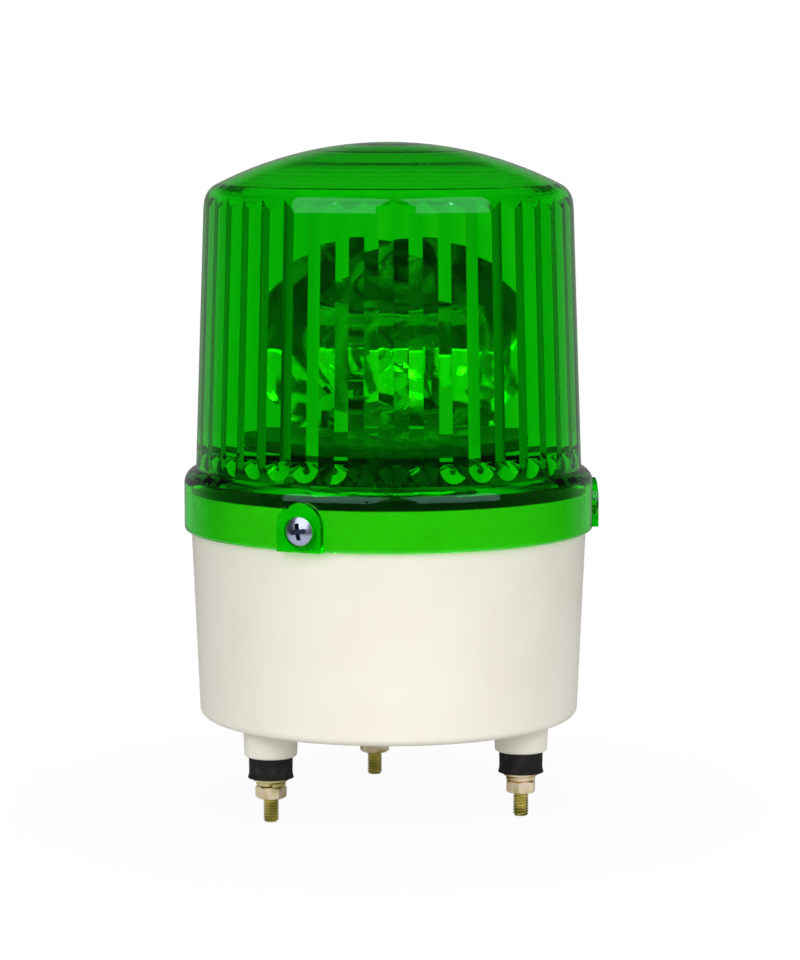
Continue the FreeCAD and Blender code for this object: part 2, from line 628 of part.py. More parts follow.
def lens_dome():
    """Lens: smooth outside, ridged inside, with a skirt that the screws pass through."""
    body = new_part("lens_dome")
    inner_sphere = "(dome_sphere - lens_wall)"
    rings = []
    for ring in (1, 2, 3):
        edge = f"{ring} * ring_pitch"
        rings.append((edge, f"{dome_height(edge, inner_sphere)} - dome_step"))
        rings.append((edge, dome_height(edge, inner_sphere)))
    turned(body, "lens_shell", [
        ("skirt_bore", "skirt_bottom"),
        ("skirt_radius - skirt_round", "skirt_bottom"),
        ("skirt_radius", "skirt_bottom + skirt_round", "skirt_round", "left"),
        ("skirt_radius", "shoulder_top - shoulder_height"),
        (LENS_FOOT, "shoulder_top", "shoulder_round", "left"),
        (f"{lens_bore('band_bottom')} + lens_wall", "band_bottom"),
        ("lens_top_radius - band_lean", "lens_wall_top"),
        ("dome_edge", dome_height("dome_edge", "dome_sphere"), "corner_round", "left"),
        ("0", "dome_top", "dome_sphere", "left"),
        ("0", f"{dome_height('0', inner_sphere)} - dome_step"),
        *rings,
        ("roof_edge", dome_height("roof_edge", inner_sphere), inner_sphere, "right"),
        (lens_bore("flute_top"), "flute_top"),
        (lens_bore("gasket_top"), "gasket_top"),
        ("skirt_bore", "gasket_top"),
    ])
    pad_outline = sketch_on(body, "lens_pad_outline", "YZ_Plane", "skirt_bore + skirt_round")
    outline(pad_outline, [
        ("-pad_half_width", "skirt_bottom"),
        ("pad_half_width", "skirt_bottom"),
        ("pad_half_width", "screw_height + pad_rise"),
        ("0", "screw_height + pad_rise + pad_half_width", "pad_half_width", "left"),
        ("-pad_half_width", "screw_height + pad_rise", "pad_half_width", "left"),
    ])
    pad = raised(body, "lens_pad", pad_outline, "pad_face - skirt_bore - skirt_round")
    recess_circle = sketch_on(body, "lens_recess_circle", "YZ_Plane", "pad_face")
    circle(recess_circle, "0", "screw_height", "screw_recess_radius")
    recess = sunk(body, "lens_recess", recess_circle, "screw_recess")
    hole_circle = sketch_on(body, "lens_hole_circle", "YZ_Plane", "pad_face")
    circle(hole_circle, "0", "screw_height", "screw_radius + drill_room")
    hole = sunk(body, "lens_hole", hole_circle, "pad_face - skirt_bore + skirt_round")
    ring_of(body, "lens_pads", [pad, recess, hole])
    ridge = body.newObject("PartDesign::AdditiveLoft", "lens_ridge")
    ridge.Profile = ridge_section(body, "lens_ridge_foot", "flute_bottom")
    ridge.Sections = [ridge_section(body, "lens_ridge_head", "flute_end")]
    ridge.Ruled = True
    # The groove in the mould core ends in a half cone, which leaves a round foot under each ridge
    half = ridge_section(body, "lens_ridge_half", "flute_bottom", half=True)
    foot = body.newObject("PartDesign::Revolution", "lens_ridge_round")
    foot.Profile = half
    foot.ReferenceAxis = (half, ["Axis0"])
    foot.Reversed = True
    foot.Angle = HALF_TURN
    ring_of(body, "lens_flutes", [ridge, foot], "flute_count")
    return body


def ridge_section(body, name, height, half=False):
    """Section of one lens ridge at a height, or half of it to turn about its middle, with its root inside the wall."""
    sketch = sketch_on(body, name, "XY_Plane", height, "180 / flute_count")
    bore = lens_bore(height)
    valley_x = f"(({bore} - flute_valley) * cos(180 / flute_count))"
    valley_y = f"(({bore} - flute_valley) * sin(180 / flute_count))"
    root = f"({valley_y} * (flute_depth + flute_root) / ({valley_x} - {bore} + flute_depth))"
    crest = (f"{bore} - flute_depth", "0")
    middle = (f"{bore} + flute_root", "0")
    outline(sketch, [
        crest,
        middle if half else (f"{bore} + flute_root", f"-{root}"),
        (f"{bore} + flute_root", root),
    ])
    if half:
        centre_line(sketch, crest, middle)
    return sketch


def lens_gasket():
    """Rubber ring between the base rim and the lens shoulder."""
    return turned_part("lens_gasket", ring_section(
        "gasket_bore", "base_rim_radius", "base_rim_top", "gasket_top"))


def lens_screws():
    """Radial pan-head screws that hold the lens to the base."""
    body = new_part("lens_screws")
    seat = "(pad_face - screw_recess)"
    crown = "(screw_head_height - screw_edge)"
    one = turned(body, "lens_screw", [
        (f"{seat} - screw_length", "screw_height"),
        (f"{seat} - screw_length + screw_radius", "screw_height + screw_radius"),
        (seat, "screw_height + screw_radius"),
        (seat, "screw_height + screw_head_radius"),
        (f"{seat} + screw_edge", "screw_height + screw_head_radius"),
        (f"{seat} + screw_head_height", "screw_height",
         f"(screw_head_radius^2 + {crown}^2) / (2 * {crown})", "right"),
    ], "XZ_Plane", (("skirt_bore", "screw_height"), (seat, "screw_height")))
    ring_of(body, "lens_screw_ring", [one])
    return body


def chassis_plate():
    """Pressed plate across the base that carries the lamp post and the motor."""
    body = new_part("chassis_plate")
    turned(body, "chassis_pressing", [
        ("spigot_radius + slack", "chassis_bottom"),
        ("chassis_radius", "chassis_bottom"),
        ("chassis_radius", f"{CHASSIS_TOP} + chassis_rim"),
        ("chassis_radius - chassis_rim", f"{CHASSIS_TOP} + chassis_rim"),
        ("chassis_radius - chassis_rim", CHASSIS_TOP),
        ("spigot_radius + slack", CHASSIS_TOP),
    ])
    post_circle = sketch_on(body, "chassis_post_circle", "XY_Plane", CHASSIS_TOP)
    circle(post_circle, "-post_circle", "0", "small_screw + drill_room")
    post_hole = sunk(body, "chassis_post_hole", post_circle, "chassis_thick")
    ring_of(body, "chassis_post_holes", [post_hole])
    motor_holes = sketch_on(body, "chassis_motor_circles", "XY_Plane", CHASSIS_TOP)
    circle(motor_holes, "0", MOTOR_Y, "motor_boss + slack")
    circle(motor_holes, "motor_screw_x", MOTOR_Y, "small_screw + drill_room")
    circle(motor_holes, "-motor_screw_x", MOTOR_Y, "small_screw + drill_room")
    circle(motor_holes, "0", f"-{GEAR_RADIUS}", "2 * wire_bore")
    sunk(body, "chassis_motor_holes", motor_holes, "chassis_thick")
    return body


def chassis_screws():
    """Screws that hold the chassis plate on its posts."""
    body = new_part("chassis_screws")
    one = small_screw(body, "chassis_screw", "-post_circle", "0", CHASSIS_TOP, "small_length")
    ring_of(body, "chassis_screw_ring", [one])
    return body


def lamp_post():
    """Fixed hollow post: bearing for the turntable below, bayonet socket above."""
    body = new_part("lamp_post")
    turned(body, "lamp_post_turning", [
        ("wire_bore", "spigot_bottom"),
        ("spigot_radius", "spigot_bottom"),
        ("spigot_radius", CHASSIS_TOP),
        ("lamp_flange_radius", CHASSIS_TOP),
        ("lamp_flange_radius", "lamp_flange_top"),
        ("lamp_post_radius", "lamp_flange_top"),
        ("lamp_post_radius", f"{CLIP_BOTTOM} - slack"),
        ("clip_groove_radius", f"{CLIP_BOTTOM} - slack"),
        ("clip_groove_radius", f"{CLIP_BOTTOM} + clip_height + slack"),
        ("lamp_post_radius", f"{CLIP_BOTTOM} + clip_height + slack"),
        ("lamp_post_radius", "lamp_post_top"),
        ("lamp_bore", "lamp_post_top"),
        ("lamp_bore", "lamp_bore_bottom"),
        ("wire_bore", "lamp_bore_bottom"),
    ])
    hook = sketch_on(body, "lamp_hook", "YZ_Plane", "lamp_post_radius")
    outline(hook, [
        ("-slot_width / 2", "lamp_post_top"),
        ("-slot_width / 2", "slot_bottom"),
        ("slot_reach", "slot_bottom"),
        ("slot_reach", "slot_bottom + slot_turn"),
        ("slot_width / 2", "slot_bottom + slot_turn"),
        ("slot_width / 2", "lamp_post_top"),
    ])
    slot = sunk(body, "lamp_slot", hook, "lamp_post_radius - lamp_bore + slot_width / 2")
    ring_of(body, "lamp_slots", [slot], "2")
    return body


def post_nut():
    """Nut that clamps the lamp post to the chassis plate."""
    body = new_part("post_nut")
    profile = sketch_on(body, "post_nut_profile", "XY_Plane", "chassis_bottom - post_nut_height")
    outline(profile, hexagon("post_nut_flats", "0"))
    raised(body, "post_nut_blank", profile, "post_nut_height")
    bore = sketch_on(body, "post_nut_bore", "XY_Plane", "chassis_bottom")
    circle(bore, "0", "0", "spigot_radius + slack")
    sunk(body, "post_nut_hole", bore, "post_nut_height")
    return body


def contact_disc():
    """Insulating disc at the bottom of the socket."""
    return turned_part("contact_disc", ring_section(
        "contact_stem + slack", "lamp_bore - slack", "lamp_bore_bottom", CONTACT_TOP))


def contact_plunger():
    """Centre contact that meets the bulb."""
    return turned_part("contact_plunger", [
        ("0", "lamp_flange_top"),
        ("contact_stem", "lamp_flange_top"),
        ("contact_stem", CONTACT_TOP),
        ("contact_head", CONTACT_TOP),
        ("contact_head", f"{CONTACT_TOP} + contact_head_height"),
        ("0", f"{CONTACT_TOP} + contact_head_height"),
    ])


def bulb_cap():
    """Bayonet cap with a solder contact below and two side pins."""
    body = new_part("bulb_cap")
    turned(body, "bulb_cap_turning", [
        ("0", f"{CAP_BOTTOM} - cap_pip"),
        ("contact_head - cap_pip", f"{CAP_BOTTOM} - cap_pip"),
        ("contact_head", CAP_BOTTOM, "cap_pip", "left"),
        ("cap_radius - cap_pip", CAP_BOTTOM),
        ("cap_radius", f"{CAP_BOTTOM} + cap_pip"),
        ("cap_radius", "cap_top"),
        ("0", "cap_top"),
    ])
    pin_circle = sketch_on(body, "bulb_pin_circle", "YZ_Plane", "cap_radius - 2 * pin_radius")
    circle(pin_circle, "slot_width", "pin_height", "pin_radius")
    pin = raised(body, "bulb_pin", pin_circle, "pin_reach - cap_radius + 2 * pin_radius")
    ring_of(body, "bulb_pins", [pin], "2")
    return body


def bulb_glass():
    """Clear bulb: a straight neck under a ball."""
    inner = "(glass_radius - glass_wall)"
    inner_neck = "(glass_neck - glass_wall)"
    middle = "(glass_top - glass_radius)"
    return turned_part("bulb_glass", [
        (inner_neck, "cap_top"),
        ("glass_neck", "cap_top"),
        ("glass_neck", f"{middle} - sqrt(glass_radius^2 - glass_neck^2)"),
        ("0", "glass_top", "glass_radius", "left"),
        ("0", "glass_top - glass_wall"),
        (inner_neck, f"{middle} - sqrt({inner}^2 - {inner_neck}^2)", inner, "right"),
    ])


def bulb_stem():
    """Glass stem that the filament supports are sealed in."""
    return turned_part("bulb_stem", [
        ("0", "cap_top"),
        ("glass_neck - 2 * glass_wall", "cap_top"),
        ("stem_radius", "cap_top + stem_radius", "stem_radius", "right"),
        ("support_half + 2 * wire_radius", "stem_top"),
        ("0", "stem_top"),
    ])


def bulb_filament():
    """Two supports and the filament between them, as one bent wire."""
    body = new_part("bulb_filament")
    start = sketch_on(body, "filament_start", "XY_Plane", "stem_top")
    circle(start, "-support_half", "0", "wire_radius")
    path = sketch_on(body, "filament_path", "XZ_Plane")
    outline(path, [
        ("-support_half", "stem_top"),
        ("-support_half", "filament_height - filament_bend"),
        ("-support_half + filament_bend", "filament_height", "filament_bend", "right"),
        ("support_half - filament_bend", "filament_height"),
        ("support_half", "filament_height - filament_bend", "filament_bend", "right"),
        ("support_half", "stem_top"),
    ], closed=False)
    wire = body.newObject("PartDesign::AdditivePipe", "filament_wire")
    wire.Profile = start
    wire.Spine = (path, [f"Edge{number}" for number in range(1, path.GeometryCount + 1)])
    return body


def thrust_washer():
    """Washer that the turntable runs on."""
    return turned_part("thrust_washer", ring_section(
        "lamp_post_radius + slack", "lamp_flange_radius", "lamp_flange_top", THRUST_TOP))


def turntable_bush():
    """Bearing bush pressed into the turntable."""
    return turned_part("turntable_bush", ring_section(
        "lamp_post_radius + slack", "bush_outside", f"{THRUST_TOP} + lift_room", "table_top"))


def top_washer():
    """Bright washer above the turntable."""
    return turned_part("top_washer", ring_section(
        "lamp_post_radius + slack", "top_washer_radius", "table_top + lift_room",
        "table_top + lift_room + top_washer_height"))


def retaining_ring():
    """Open ring in the groove of the lamp post that keeps the turntable down."""
    body = new_part("retaining_ring")
    turned(body, "retaining_ring_turning", ring_section(
        "clip_groove_radius + slack", "clip_radius", CLIP_BOTTOM, f"{CLIP_BOTTOM} + clip_height"))
    opening = sketch_on(body, "retaining_ring_opening", "XY_Plane", f"{CLIP_BOTTOM} + clip_height")
    rectangle(opening, "0", "clip_radius + slack", "-clip_opening / 2", "clip_opening / 2")
    sunk(body, "retaining_ring_gap", opening, "clip_height")
    return body


def involute(angle):
    """Involute of an angle in radians."""
    return math.tan(angle) - angle


def teeth(body, name, count, low, high, turn="0"):
    """Add a ring of involute teeth about the body's own Z axis."""
    module = value("gear_module")
    number = value(count)
    pitch = module * number / 2
    pressure = math.radians(value("pressure_angle"))
    base = pitch * math.cos(pressure)
    tip = pitch + value("tooth_addendum") * module
    root = pitch - value("tooth_dedendum") * module
    half_tooth = (math.pi * module / 2 - value("backlash")) / 2 / pitch
    foot = max(base, root)
    radii = [foot, (foot + pitch) / 2, pitch, (pitch + tip) / 2, tip]
    half_base = half_tooth + involute(pressure)
    flank = [(root - module / 4, half_base)]
    flank += [(radius, half_base - involute(math.acos(base / radius))) for radius in radii]
    points = flank + [(radius, -angle) for radius, angle in reversed(flank)]
    places = [Vector(radius * math.cos(angle), -radius * math.sin(angle), 0) for radius, angle in points]
    sketch = sketch_on(body, f"{name}_flanks", "XY_Plane", low, turn)
    for index, place in enumerate(places):
        sketch.addGeometry(Part.LineSegment(places[index - 1], place), False)
        sketch.addConstraint(Sketcher.Constraint("Block", index))
    tooth = raised(body, name, sketch, f"{high} - {low}")
    ring_of(body, f"{name}_ring", [tooth], count)


def turntable():
    """Moulded disc with a hub and a ring of gear teeth under it."""
    body = new_part("turntable")
    turned(body, "turntable_moulding", [
        ("hub_bore", f"{THRUST_TOP} + lift_room"),
        ("lamp_flange_radius", f"{THRUST_TOP} + lift_room"),
        ("lamp_flange_radius", "gear_top - gear_web"),
        (f"{GEAR_ROOT} - gear_rim", "gear_top - gear_web"),
        (f"{GEAR_ROOT} - gear_rim", "gear_bottom"),
        (GEAR_ROOT, "gear_bottom"),
        (GEAR_ROOT, "gear_top"),
        ("hub_radius", "gear_top"),
        ("hub_radius", "table_bottom"),
        ("table_radius - table_round", "table_bottom"),
        ("table_radius", "table_bottom + table_round"),
        ("table_radius", "table_top - table_round"),
        ("table_radius - table_round", "table_top"),
        ("hub_bore", "table_top"),
    ])
    teeth(body, "turntable_tooth", "gear_teeth", "gear_bottom", "gear_top")
    drill = sketch_on(body, "turntable_drill", "XY_Plane", "table_top")
    for side in ("", "-"):
        circle(drill, f"{side}dish_screw_x", "dish_screw_y", "small_screw + slack")
    sunk(body, "turntable_holes", drill, "table_top - table_bottom")
    return body


def parabola(sketch, vertex):
    """Draw half a parabola from the dish's rim to its vertex; a quadratic spline is exactly that."""
    poles = [
        (f"{vertex} - dish_radius^2 / (4 * dish_focus)", "filament_height + dish_radius"),
        (vertex, "filament_height + dish_radius / 2"),
        (vertex, "filament_height"),
    ]
    places = [Vector(value(x), value(y), 0) for x, y in poles]
    curve = Part.BSplineCurve()
    curve.buildFromPolesMultsKnots(places, [3, 3], [0, 1], False, 2)
    spline = sketch.addGeometry(curve, False)
    sketch.exposeInternalGeometry(spline)
    for number, pole in enumerate(poles, 1):
        pin_point(sketch, spline + number, CENTRE, *pole)
    return spline


def reflector():
    """Chromed dish, open in front, notched round the lamp and carried by a rib at its back."""
    body = new_part("reflector")
    section = sketch_on(body, "dish_section", "YZ_Plane")
    inside = parabola(section, "dish_focus")
    outside = parabola(section, "dish_focus + dish_wall")
    for corner in (1, 2):
        ends = [section.getPoint(spline, corner) for spline in (inside, outside)]
        edge = section.addGeometry(Part.LineSegment(*ends), False)
        join(section, inside, corner, edge, 1)
        join(section, outside, corner, edge, 2)
    centre_line(section, ("0", "filament_height"), ("dish_focus", "filament_height"))
    bowl = body.newObject("PartDesign::Revolution", "dish_bowl")
    bowl.Profile = section
    bowl.ReferenceAxis = (section, ["Axis0"])
    bowl.Angle = FULL_TURN
    trim = sketch_on(body, "dish_trim", "XY_Plane", "dish_bottom")
    rectangle(trim, "-dish_radius", "dish_radius", "-dish_radius", "dish_radius")
    sunk(body, "dish_lower_edge", trim, "dish_radius")
    clearing = sketch_on(body, "dish_clearing", "XY_Plane", "dish_notch_top")
    circle(clearing, "0", "0", "dish_notch")
    sunk(body, "dish_lamp_notch", clearing, "dish_radius")
    rib = sketch_on(body, "dish_rib_outline", "YZ_Plane", "-rib_half_width")
    outline(rib, [
        ("foot_plate_front", "table_top"),
        ("foot_plate_back - dish_wall", "table_top"),
        ("rib_back", "rib_shoulder"),
        ("dish_focus + dish_wall / 2", "filament_height"),
        ("foot_plate_front", "rib_shoulder"),
    ])
    raised(body, "dish_rib", rib, "2 * rib_half_width")
    plate = sketch_on(body, "dish_foot_outline", "XY_Plane", "table_top")
    rectangle(plate, "-foot_plate_half", "foot_plate_half", "foot_plate_front", "foot_plate_back")
    raised(body, "dish_foot", plate, "foot_plate_height")
    # The foot is hollowed round the washer that stays still while the dish turns
    relief = sketch_on(body, "dish_foot_relief_circle", "XY_Plane", "table_top + foot_plate_height")
    circle(relief, "0", "0", "top_washer_radius + washer_room")
    sunk(body, "dish_foot_relief", relief, "foot_plate_height")
    drill = sketch_on(body, "dish_foot_drill", "XY_Plane", "table_top + foot_plate_height")
    for side in ("", "-"):
        circle(drill, f"{side}dish_screw_x", "dish_screw_y", "small_screw + drill_room")
    sunk(body, "dish_foot_holes", drill, "foot_plate_height")
    return body


def reflector_screws():
    """Screws that hold the dish on the turntable."""
    body = new_part("reflector_screws")
    one = small_screw(body, "reflector_screw", "dish_screw_x", "dish_screw_y",
                      "(table_top + foot_plate_height)", "dish_screw_length")
    mirrored(body, "reflector_screw_pair", [one])
    return body


def beside_gear(body):
    """Move a body made on the Z axis to the motor's own axis."""
    body.setExpression("Placement.Base.y", sized(MOTOR_Y))
    return body


def motor_case():
    """Sealed motor can that hangs under the chassis plate."""
    body = turned_part("motor_case", [
        ("0", "motor_bottom"),
        ("motor_radius - motor_round", "motor_bottom"),
        ("motor_radius", "motor_bottom + motor_round", "motor_round", "left"),
        ("motor_radius", "chassis_bottom"),
        ("motor_boss", "chassis_bottom"),
        ("motor_boss", "chassis_bottom + motor_boss_height"),
        ("shaft_radius + slack", "chassis_bottom + motor_boss_height"),
        ("shaft_radius + slack", "shaft_bottom - slack"),
        ("0", "shaft_bottom - slack"),
    ])
    drill = sketch_on(body, "motor_drill", "XY_Plane", "chassis_bottom")
    for side in ("", "-"):
        circle(drill, f"{side}motor_screw_x", "0", "small_screw + slack")
    sunk(body, "motor_holes", drill, "motor_screw_length")
    return beside_gear(body)


def motor_shaft():
    """Output shaft of the motor."""
    return beside_gear(turned_part("motor_shaft", [
        ("0", "shaft_bottom"),
        ("shaft_radius", "shaft_bottom"),
        ("shaft_radius", "shaft_top - shaft_radius / 3"),
        ("shaft_radius * 2 / 3", "shaft_top"),
        ("0", "shaft_top"),
    ]))


def drive_pinion():
    """Pinion on the motor shaft, half a tooth round so that it meshes with the turntable."""
    body = turned_part("drive_pinion", ring_section(
        "shaft_radius + slack / 5", f"{PINION_RADIUS} - tooth_dedendum * gear_module",
        "pinion_bottom", "pinion_top"))
    teeth(body, "pinion_tooth", "pinion_teeth", "pinion_bottom", "pinion_top", "180 / pinion_teeth")
    return beside_gear(body)


def motor_screws():
    """Screws through the chassis plate into the motor."""
    body = new_part("motor_screws")
    one = small_screw(body, "motor_screw", "motor_screw_x", "0", CHASSIS_TOP, "motor_screw_length")
    mirrored(body, "motor_screw_pair", [one])
    return beside_gear(body)


def along_x(body, name, features, count, pitch):
    """Repeat features in a row along X."""
    pattern = body.newObject("PartDesign::LinearPattern", name)
    pattern.Originals = features
    pattern.Direction = (datum(body, "X_Axis"), [""])
    pattern.setExpression("Length", sized(f"{pitch} * ({count} - 1)"))
    pattern.setExpression("Occurrences", sized(count))
    body.Tip = pattern


def on_floor(body):
    """Stand a body made at the origin on the base floor, at the terminal block's place."""
    body.setExpression("Placement.Base.x", sized("terminal_x"))
    body.setExpression("Placement.Base.y", sized("terminal_y"))
    body.setExpression("Placement.Base.z", sized(FLOOR_TOP))
    return body


FIRST_WAY = "-terminal_pitch * (terminal_ways - 1) / 2"


def terminal_block():
    """Block where the supply cable is joined to the lamp and motor leads."""
    body = new_part("terminal_block")
    base = sketch_on(body, "terminal_base", "XY_Plane")
    rectangle(base, "-terminal_length / 2", "terminal_length / 2",
              "-terminal_width / 2", "terminal_width / 2")
    raised(body, "terminal_moulding", base, "terminal_height")
    wire = sketch_on(body, "terminal_wire", "XZ_Plane", "terminal_width / 2")
    circle(wire, FIRST_WAY, "terminal_hole_height", "terminal_hole")
    way = sunk(body, "terminal_way", wire, "terminal_width")
    mouth = sketch_on(body, "terminal_mouth", "XY_Plane", "terminal_height")
    circle(mouth, FIRST_WAY, "0", "terminal_well")
    well = sunk(body, "terminal_screw_well", mouth, "terminal_well_depth")
    along_x(body, "terminal_row", [way, well], "terminal_ways", "terminal_pitch")
    return on_floor(body)


def terminal_screws():
    """Clamp screws in the terminal block."""
    body = new_part("terminal_screws")
    foot = sketch_on(body, "terminal_screw_foot", "XY_Plane", "terminal_height - terminal_well_depth")
    circle(foot, FIRST_WAY, "0", "terminal_screw")
    one = raised(body, "terminal_screw_blank", foot, "terminal_screw_height")
    slot = sketch_on(body, "terminal_screw_slot", "XY_Plane",
                     "terminal_height - terminal_well_depth + terminal_screw_height")
    rectangle(slot, f"{FIRST_WAY} - terminal_screw", f"{FIRST_WAY} + terminal_screw",
              "-terminal_screw / 6", "terminal_screw / 6")
    cut = sunk(body, "terminal_screw_cut", slot, "terminal_screw_height / 3")
    along_x(body, "terminal_screw_row", [one, cut], "terminal_ways", "terminal_pitch")
    return on_floor(body)


bodies = [
    base_housing(),
    cable_grommet(),
    mounting_studs(),
    hex_nuts(),
    spring_washers(),
    flat_washers(),
    rubber_feet(),
    lens_dome(),
    lens_gasket(),
    lens_screws(),
    chassis_plate(),
    chassis_screws(),
    lamp_post(),
    post_nut(),
    contact_disc(),
    contact_plunger(),
    bulb_cap(),
    bulb_glass(),
    bulb_stem(),
    bulb_filament(),
    thrust_washer(),
    turntable_bush(),
    top_washer(),
    retaining_ring(),
    turntable(),
    reflector(),
    reflector_screws(),
    motor_case(),
    motor_shaft(),
    drive_pinion(),
    motor_screws(),
    terminal_block(),
    terminal_screws(),
]
doc.recompute()

for item in doc.Objects:
    if "Invalid" in item.State or "Error" in item.State:
        raise RuntimeError(f"{item.Name} failed: {item.State}")
for body in bodies:
    if body.Shape.isNull() or not body.Shape.isValid():
        raise RuntimeError(f"{body.Label} has no valid shape")

os.makedirs("parts", exist_ok=True)
for body in bodies:
    body.Shape.exportStep(f"parts/{body.Label}.step")
    print(body.Label, len(body.Shape.Solids), round(body.Shape.Volume, 1))
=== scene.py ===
# %% [markdown]
# # A rotating beacon, dressed in Blender
#
# The beacon is already built in CAD: a cream base on three rubber-footed studs, a fluted green lens, and
# inside it a chromed dish that turns round a small bulb. This lesson loads those solids as a fixed frame and
# gives them their looks. Nothing is moved or resized here. Small pieces that CAD leaves plain, such as
# threads, are modelled and put in the place of the solid that stands for them.

# %% Load the packed beacon
import json
import math

import bmesh
import bpy
from mathutils import Matrix, Quaternion, Vector

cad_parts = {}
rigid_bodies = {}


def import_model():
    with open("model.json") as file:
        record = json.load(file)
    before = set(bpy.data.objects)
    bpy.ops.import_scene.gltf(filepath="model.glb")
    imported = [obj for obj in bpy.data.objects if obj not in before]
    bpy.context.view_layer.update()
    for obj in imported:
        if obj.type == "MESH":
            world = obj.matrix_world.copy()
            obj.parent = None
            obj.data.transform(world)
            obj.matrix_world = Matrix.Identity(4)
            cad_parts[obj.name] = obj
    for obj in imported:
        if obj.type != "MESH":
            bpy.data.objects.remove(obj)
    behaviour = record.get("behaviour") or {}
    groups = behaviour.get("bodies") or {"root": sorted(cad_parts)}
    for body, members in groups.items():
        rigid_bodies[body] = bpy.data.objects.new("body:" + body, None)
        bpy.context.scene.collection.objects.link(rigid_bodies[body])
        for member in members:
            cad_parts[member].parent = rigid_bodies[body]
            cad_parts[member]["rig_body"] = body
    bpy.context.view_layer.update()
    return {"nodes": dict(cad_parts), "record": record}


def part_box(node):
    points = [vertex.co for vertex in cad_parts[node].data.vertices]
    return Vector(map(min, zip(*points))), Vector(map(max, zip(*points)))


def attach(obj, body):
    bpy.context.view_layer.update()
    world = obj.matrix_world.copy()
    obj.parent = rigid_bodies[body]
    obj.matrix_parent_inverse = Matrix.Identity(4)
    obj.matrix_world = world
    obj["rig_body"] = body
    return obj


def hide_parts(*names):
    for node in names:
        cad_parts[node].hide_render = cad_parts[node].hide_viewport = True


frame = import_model()
MM = 0.001

# %% [markdown]
# ## The camera
#
# A camera matches a photograph when four things agree: how far away it stands, how high, where it points and
# how long its lens is. The ellipses of the lens rim and of the base floor gave the height and the distance:
# the further apart their flatness, the nearer the camera. A long lens keeps the upright sides nearly
# parallel.

# %% Camera
CAMERA_DISTANCE = 0.806
CAMERA_HEIGHT = 0.1783
CAMERA_AZIMUTH = math.radians(-6.0)
CAMERA_PITCH = math.radians(-6.54)
CAMERA_YAW = math.radians(-0.21)
SENSOR_HEIGHT = 36.0
PICTURE_HEIGHT_PX = 960
FOCAL_PX = 3100

optics = bpy.data.cameras.new("photo_camera")
optics.sensor_fit = "VERTICAL"
optics.sensor_height = SENSOR_HEIGHT
optics.lens = SENSOR_HEIGHT * FOCAL_PX / PICTURE_HEIGHT_PX
camera = bpy.data.objects.new("photo_camera", optics)
camera.location = (
    CAMERA_DISTANCE * math.sin(CAMERA_AZIMUTH),
    -CAMERA_DISTANCE * math.cos(CAMERA_AZIMUTH),
    CAMERA_HEIGHT,
)
camera.rotation_euler = (math.pi / 2 + CAMERA_PITCH, 0, CAMERA_AZIMUTH + CAMERA_YAW)
bpy.context.scene.collection.objects.link(camera)
bpy.context.scene.camera = camera
print("camera at", [round(value, 3) for value in camera.location], "focal length", round(optics.lens, 1))

# %% [markdown]
# ## Shader maths as plain sums
#
# Node trees get hard to read when every sum is three lines of links. One small class wraps a socket, and its
# operators add Math nodes, so that `1 - mask * 0.3` is written as it is thought. Every other node comes from
# the one method `node`, which takes the node's type, then its settings, then the values or links of its
# sockets.


# %% A wrapped socket
class Wire:
    """One socket of a node tree. Sums on it add Math nodes."""

    def __init__(self, tree, socket=None):
        self.tree = tree
        self.socket = socket

    def node(self, kind, settings=None, sockets=None, out=0):
        """Adds a node: its settings come first, then what its sockets hold or are linked to."""
        made = self.tree.nodes.new(kind)
        for name, value in (settings or {}).items():
            if name == "stops":
                self.fill_ramp(made.color_ramp.elements, value)
            else:
                setattr(made, name, value)
        for key, value in (sockets or {}).items():
            if isinstance(value, Wire):
                self.tree.links.new(value.socket, made.inputs[key])
            else:
                made.inputs[key].default_value = value
        return Wire(self.tree, made.outputs[out] if made.outputs else None)

    @staticmethod
    def fill_ramp(elements, stops):
        """Gives a colour ramp these (place, tint) stops."""
        while len(elements) < len(stops):
            elements.new(1.0)
        for element, (place, tint) in zip(elements, stops):
            element.position = place
            element.color = tint

    def other(self, out):
        """Another output of the same node."""
        return Wire(self.tree, self.socket.node.outputs[out])

    def maths(self, operation, *terms):
        return self.node("ShaderNodeMath", {"operation": operation}, dict(enumerate(terms)))

    def __add__(self, term):
        return self.maths("ADD", self, term)

    __radd__ = __add__

    def __sub__(self, term):
        return self.maths("SUBTRACT", self, term)

    def __rsub__(self, term):
        return self.maths("SUBTRACT", term, self)

    def __mul__(self, term):
        return self.maths("MULTIPLY", self, term)

    __rmul__ = __mul__

    def between(self, low, high):
        """0 below low, 1 above high, and a soft step between them."""
        limits = {"Value": self, "From Min": low, "From Max": high}
        return self.node("ShaderNodeMapRange", {"interpolation_type": "SMOOTHSTEP"}, limits)

    def mix(self, first, second):
        """A colour: first where this wire is 0, second where it is 1."""
        return self.node("ShaderNodeMix", {"data_type": "RGBA"}, {0: self, 6: first, 7: second}, out=2)


print("a wire has", [name for name in vars(Wire) if not name.startswith("_")])

# %% [markdown]
# ## One way to start every finish
#
# A finish is a material with one Principled shader. Numbers that are the same all over are set on the
# shader's own sockets. What changes over the surface is a wire. All patterns read Object coordinates: every
# piece sits at the origin with its place in its mesh, so these are metres on the real beacon, and a grain of
# half a millimetre is half a millimetre on each piece.


# %% Helpers for finishes
def colour(red, green, blue):
    return (red, green, blue, 1.0)


def new_finish(name):
    """A material with an empty node tree, and a wire to start from."""
    material = bpy.data.materials.new(name)
    material.use_nodes = True
    material.node_tree.nodes.clear()
    return material, Wire(material.node_tree)


def place_on_beacon(tree):
    return tree.node("ShaderNodeTexCoord", out="Object")


